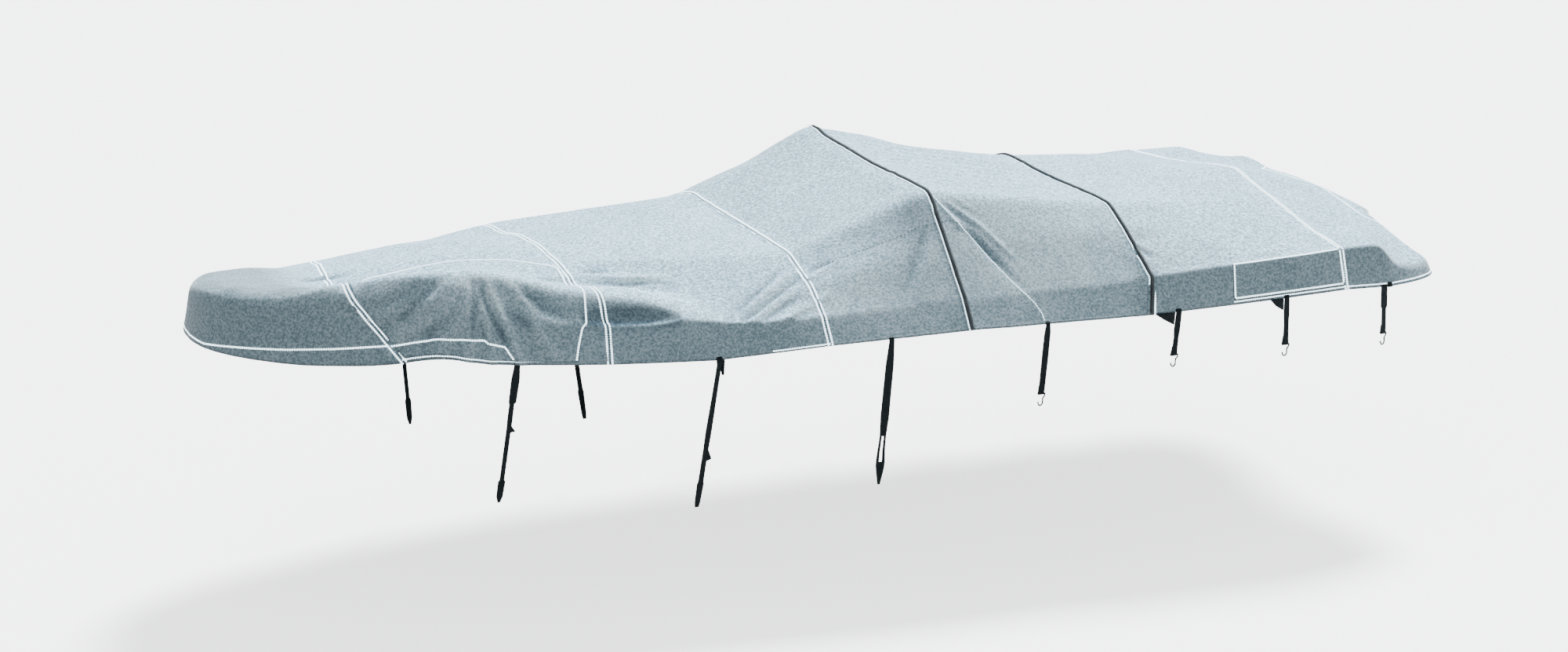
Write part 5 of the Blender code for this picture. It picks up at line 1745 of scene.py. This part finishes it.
shade = sum_of(canvas, "ADD", shade, sum_of(canvas, "MULTIPLY_ADD", mottle, 0.28, -0.14))
cloth_colour = ramp(canvas, shade, (0.34, DEEP), (0.50, MIDDLE), (0.66, PALE))
# The up-facing cloth is made paler and bluer, partly sun bleaching and partly a painted highlight.
bleach_and_highlight_colour = blended(canvas, 1.0, cloth_colour, (0.94, 1.11, 1.25), "MULTIPLY")
cloth_colour = blended(canvas, bleach_and_painted_highlight, cloth_colour, bleach_and_highlight_colour)
heather = ramp(canvas, noise(canvas, place, 62.0, 2.0, 0.6), (0.36, (0.50, 0.50, 0.50)),
               (0.64, (1.0, 1.0, 1.0)))
heather = blended(canvas, 1.0, heather, (1.34, 1.32, 1.30), "MULTIPLY")
cloth_colour = blended(canvas, bleach_and_painted_highlight, cloth_colour,
                       blended(canvas, 1.0, cloth_colour, heather, "MULTIPLY"))
# Painted shade in crease troughs and on the bow's top.
painted_shade = mark_of(canvas, "painted_shade")
cloth_colour = blended(canvas, painted_shade, cloth_colour, (0.47, 0.50, 0.52), "MULTIPLY")
# Painted highlight on crests.
painted_crest_highlight = mark_of(canvas, "painted_crest_highlight")
cloth_colour = blended(canvas, sum_of(canvas, "MULTIPLY", painted_crest_highlight, 0.9), cloth_colour,
                       (1.38, 1.34, 1.30), "MULTIPLY")
# Painted shade and dirt in seam grooves, by stitch rows, at hems and round patches.
sewn = mark_of(canvas, "sewn")
cloth_colour = blended(canvas, sum_of(canvas, "MULTIPLY", sewn, 0.75), cloth_colour, SEAM_SHADE_AND_DIRT,
                       "MULTIPLY")
weave = sum_of(canvas, "MULTIPLY", bands(canvas, pattern, THREAD_PITCH, "X"),
               bands(canvas, pattern, THREAD_PITCH, "Y"))
normal = bumped(canvas, noise(canvas, place, 24.0, 3.0), 0.35, 0.0040)
normal = bumped(canvas, speckle, 0.30, 0.0012, normal)
normal = bumped(canvas, weave, 0.35, 0.0003, normal)
dull = sum_of(canvas, "MULTIPLY_ADD", speckle, 0.22, 0.72)
canvas_shader.inputs["Sheen Weight"].default_value = 0.12
canvas_shader.inputs["Sheen Roughness"].default_value = 0.45
canvas_shader.inputs["Specular IOR Level"].default_value = 0.25
dress(canvas, canvas_shader, cloth_colour, dull, normal)
print("canvas:", len(canvas.node_tree.nodes), "nodes")

# %% [markdown]
# ## Thread and cord
# Thick polyester thread is twisted, so its bump is slanting bands along the stitch, and it
# greys with dirt here and there.  The white thread also gives off light, which real thread
# doesn't: it keeps the rows white in the shade, and has to be turned off for a dark scene.
# The piping is a braided cover: bands slant both ways.

# %% Finish the threads and the cord


def twisted(finish, pattern, period):
    """Bands across the diagonal of the pattern."""
    turned = node(finish, "Mapping", ("Vector", pattern),
                  ("Rotation", (0.0, 0.0, math.radians(52.0)))).outputs["Vector"]
    return bands(finish, turned, period, "X")


def finish_thread(finish, shader, clean, dirty, period):
    """Twist as bump and shade, and patches of dirt from noise."""
    place, pattern = places_of(finish)
    twist = twisted(finish, pattern, period)
    dirt = noise(finish, place, 42.0, 3.0, 0.6)
    colour = ramp(finish, dirt, (0.30, dirty), (0.62, clean))
    colour = blended(finish, sum_of(finish, "MULTIPLY_ADD", twist, -0.22, 0.22), colour,
                     (0.55, 0.57, 0.60), "MULTIPLY")
    rough = sum_of(finish, "MULTIPLY_ADD", dirt, 0.3, 0.45)
    dress(finish, shader, colour, rough, bumped(finish, twist, 0.6, 0.0005))


finish_thread(white_thread, white_thread_shader, (0.88, 0.95, 0.98), (0.78, 0.86, 0.90), 0.0016)
white_thread_shader.inputs["Emission Color"].default_value = (0.74, 0.93, 1.0, 1.0)
white_thread_shader.inputs["Emission Strength"].default_value = 3.8
finish_thread(grey_thread, grey_thread_shader, (0.44, 0.54, 0.58), (0.30, 0.37, 0.41), 0.0016)
finish_thread(dark_thread, dark_thread_shader, (0.035, 0.045, 0.052), (0.09, 0.105, 0.115),
              0.0016)

place, pattern = places_of(dark_cord)
braid = sum_of(dark_cord, "MULTIPLY", bands(dark_cord, pattern, 0.0042, "DIAGONAL"),
               twisted(dark_cord, pattern, 0.0036))
rubbed = noise(dark_cord, place, 18.0, 4.0, 0.6)
colour = ramp(dark_cord, rubbed, (0.40, (0.012, 0.017, 0.020)), (0.72, (0.060, 0.074, 0.082)))
colour = blended(dark_cord, sum_of(dark_cord, "MULTIPLY", braid, 0.35), colour,
                 (0.085, 0.100, 0.110))
rough = sum_of(dark_cord, "MULTIPLY_ADD", rubbed, 0.35, 0.50)
dress(dark_cord, dark_cord_shader, colour, rough, bumped(dark_cord, braid, 0.7, 0.0007))
print("threads and cord done")

# %% [markdown]
# ## Webbing, steel and floor
# Webbing is woven in narrow ribs across the strap, shiny on their crests and grey with fluff
# at the edges.  The hooks are dark wire, a little cloudy, with fine marks along it.  The floor
# has only the faintest unevenness.

# %% Finish the webbing, the hooks and the floor
place, pattern = places_of(webbing)
ribs = bands(webbing, pattern, 0.0026, "X")
cords = bands(webbing, pattern, 0.0040, "Y")
dust = noise(webbing, place, 30.0, 4.0, 0.6)
worn = mark_of(webbing, "worn")
colour = ramp(webbing, dust, (0.35, (0.003, 0.006, 0.008)), (0.75, (0.011, 0.017, 0.020)))
colour = blended(webbing, sum_of(webbing, "MULTIPLY", ribs, 0.25), colour, (0.016, 0.024, 0.028))
frayed = sum_of(webbing, "MULTIPLY", worn, sum_of(webbing, "MULTIPLY_ADD", dust, 1.2, -0.3))
colour = blended(webbing, frayed, colour, (0.050, 0.062, 0.068))
rough = sum_of(webbing, "MULTIPLY_ADD", ribs, -0.15, 0.72)
normal = bumped(webbing, sum_of(webbing, "ADD", ribs, sum_of(webbing, "MULTIPLY", cords, 0.6)),
                0.7, 0.0006)
webbing_shader.inputs["Specular IOR Level"].default_value = 0.06
dress(webbing, webbing_shader, colour, rough, normal)

place, pattern = places_of(steel)
cloud = noise(steel, place, 160.0, 3.0, 0.6)
drawn = noise(steel, stretched(steel, pattern, (90.0, 1800.0, 1.0)), 1.0, 2.0)
colour = ramp(steel, cloud, (0.30, (0.010, 0.012, 0.014)), (0.70, (0.055, 0.058, 0.062)))
rough = sum_of(steel, "MULTIPLY_ADD", cloud, 0.30, 0.38)
steel_shader.inputs["Specular Tint"].default_value = (0.16, 0.165, 0.17, 1.0)
dress(steel, steel_shader, colour, rough, bumped(steel, drawn, 0.25, 0.0002))

place = node(floor_finish, "TexCoord").outputs["Object"]
uneven = noise(floor_finish, place, 1.4, 5.0, 0.6)
colour = ramp(floor_finish, uneven, (0.30, (0.850, 0.822, 0.812)), (0.70, (0.880, 0.850, 0.840)))
rough = sum_of(floor_finish, "MULTIPLY_ADD", uneven, 0.08, 0.86)
dress(floor_finish, floor_shader, colour, rough, bumped(floor_finish, uneven, 0.05, 0.002))
print("materials:", len(bpy.data.materials))

# %% [markdown]
# ## The dressed model's box
# The last cell prints the box of the dressed model.

# %% Measure and finish
low, high = [list(corner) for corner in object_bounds()]
print("dressed from", np.round(low, 3), "to", np.round(high, 3))
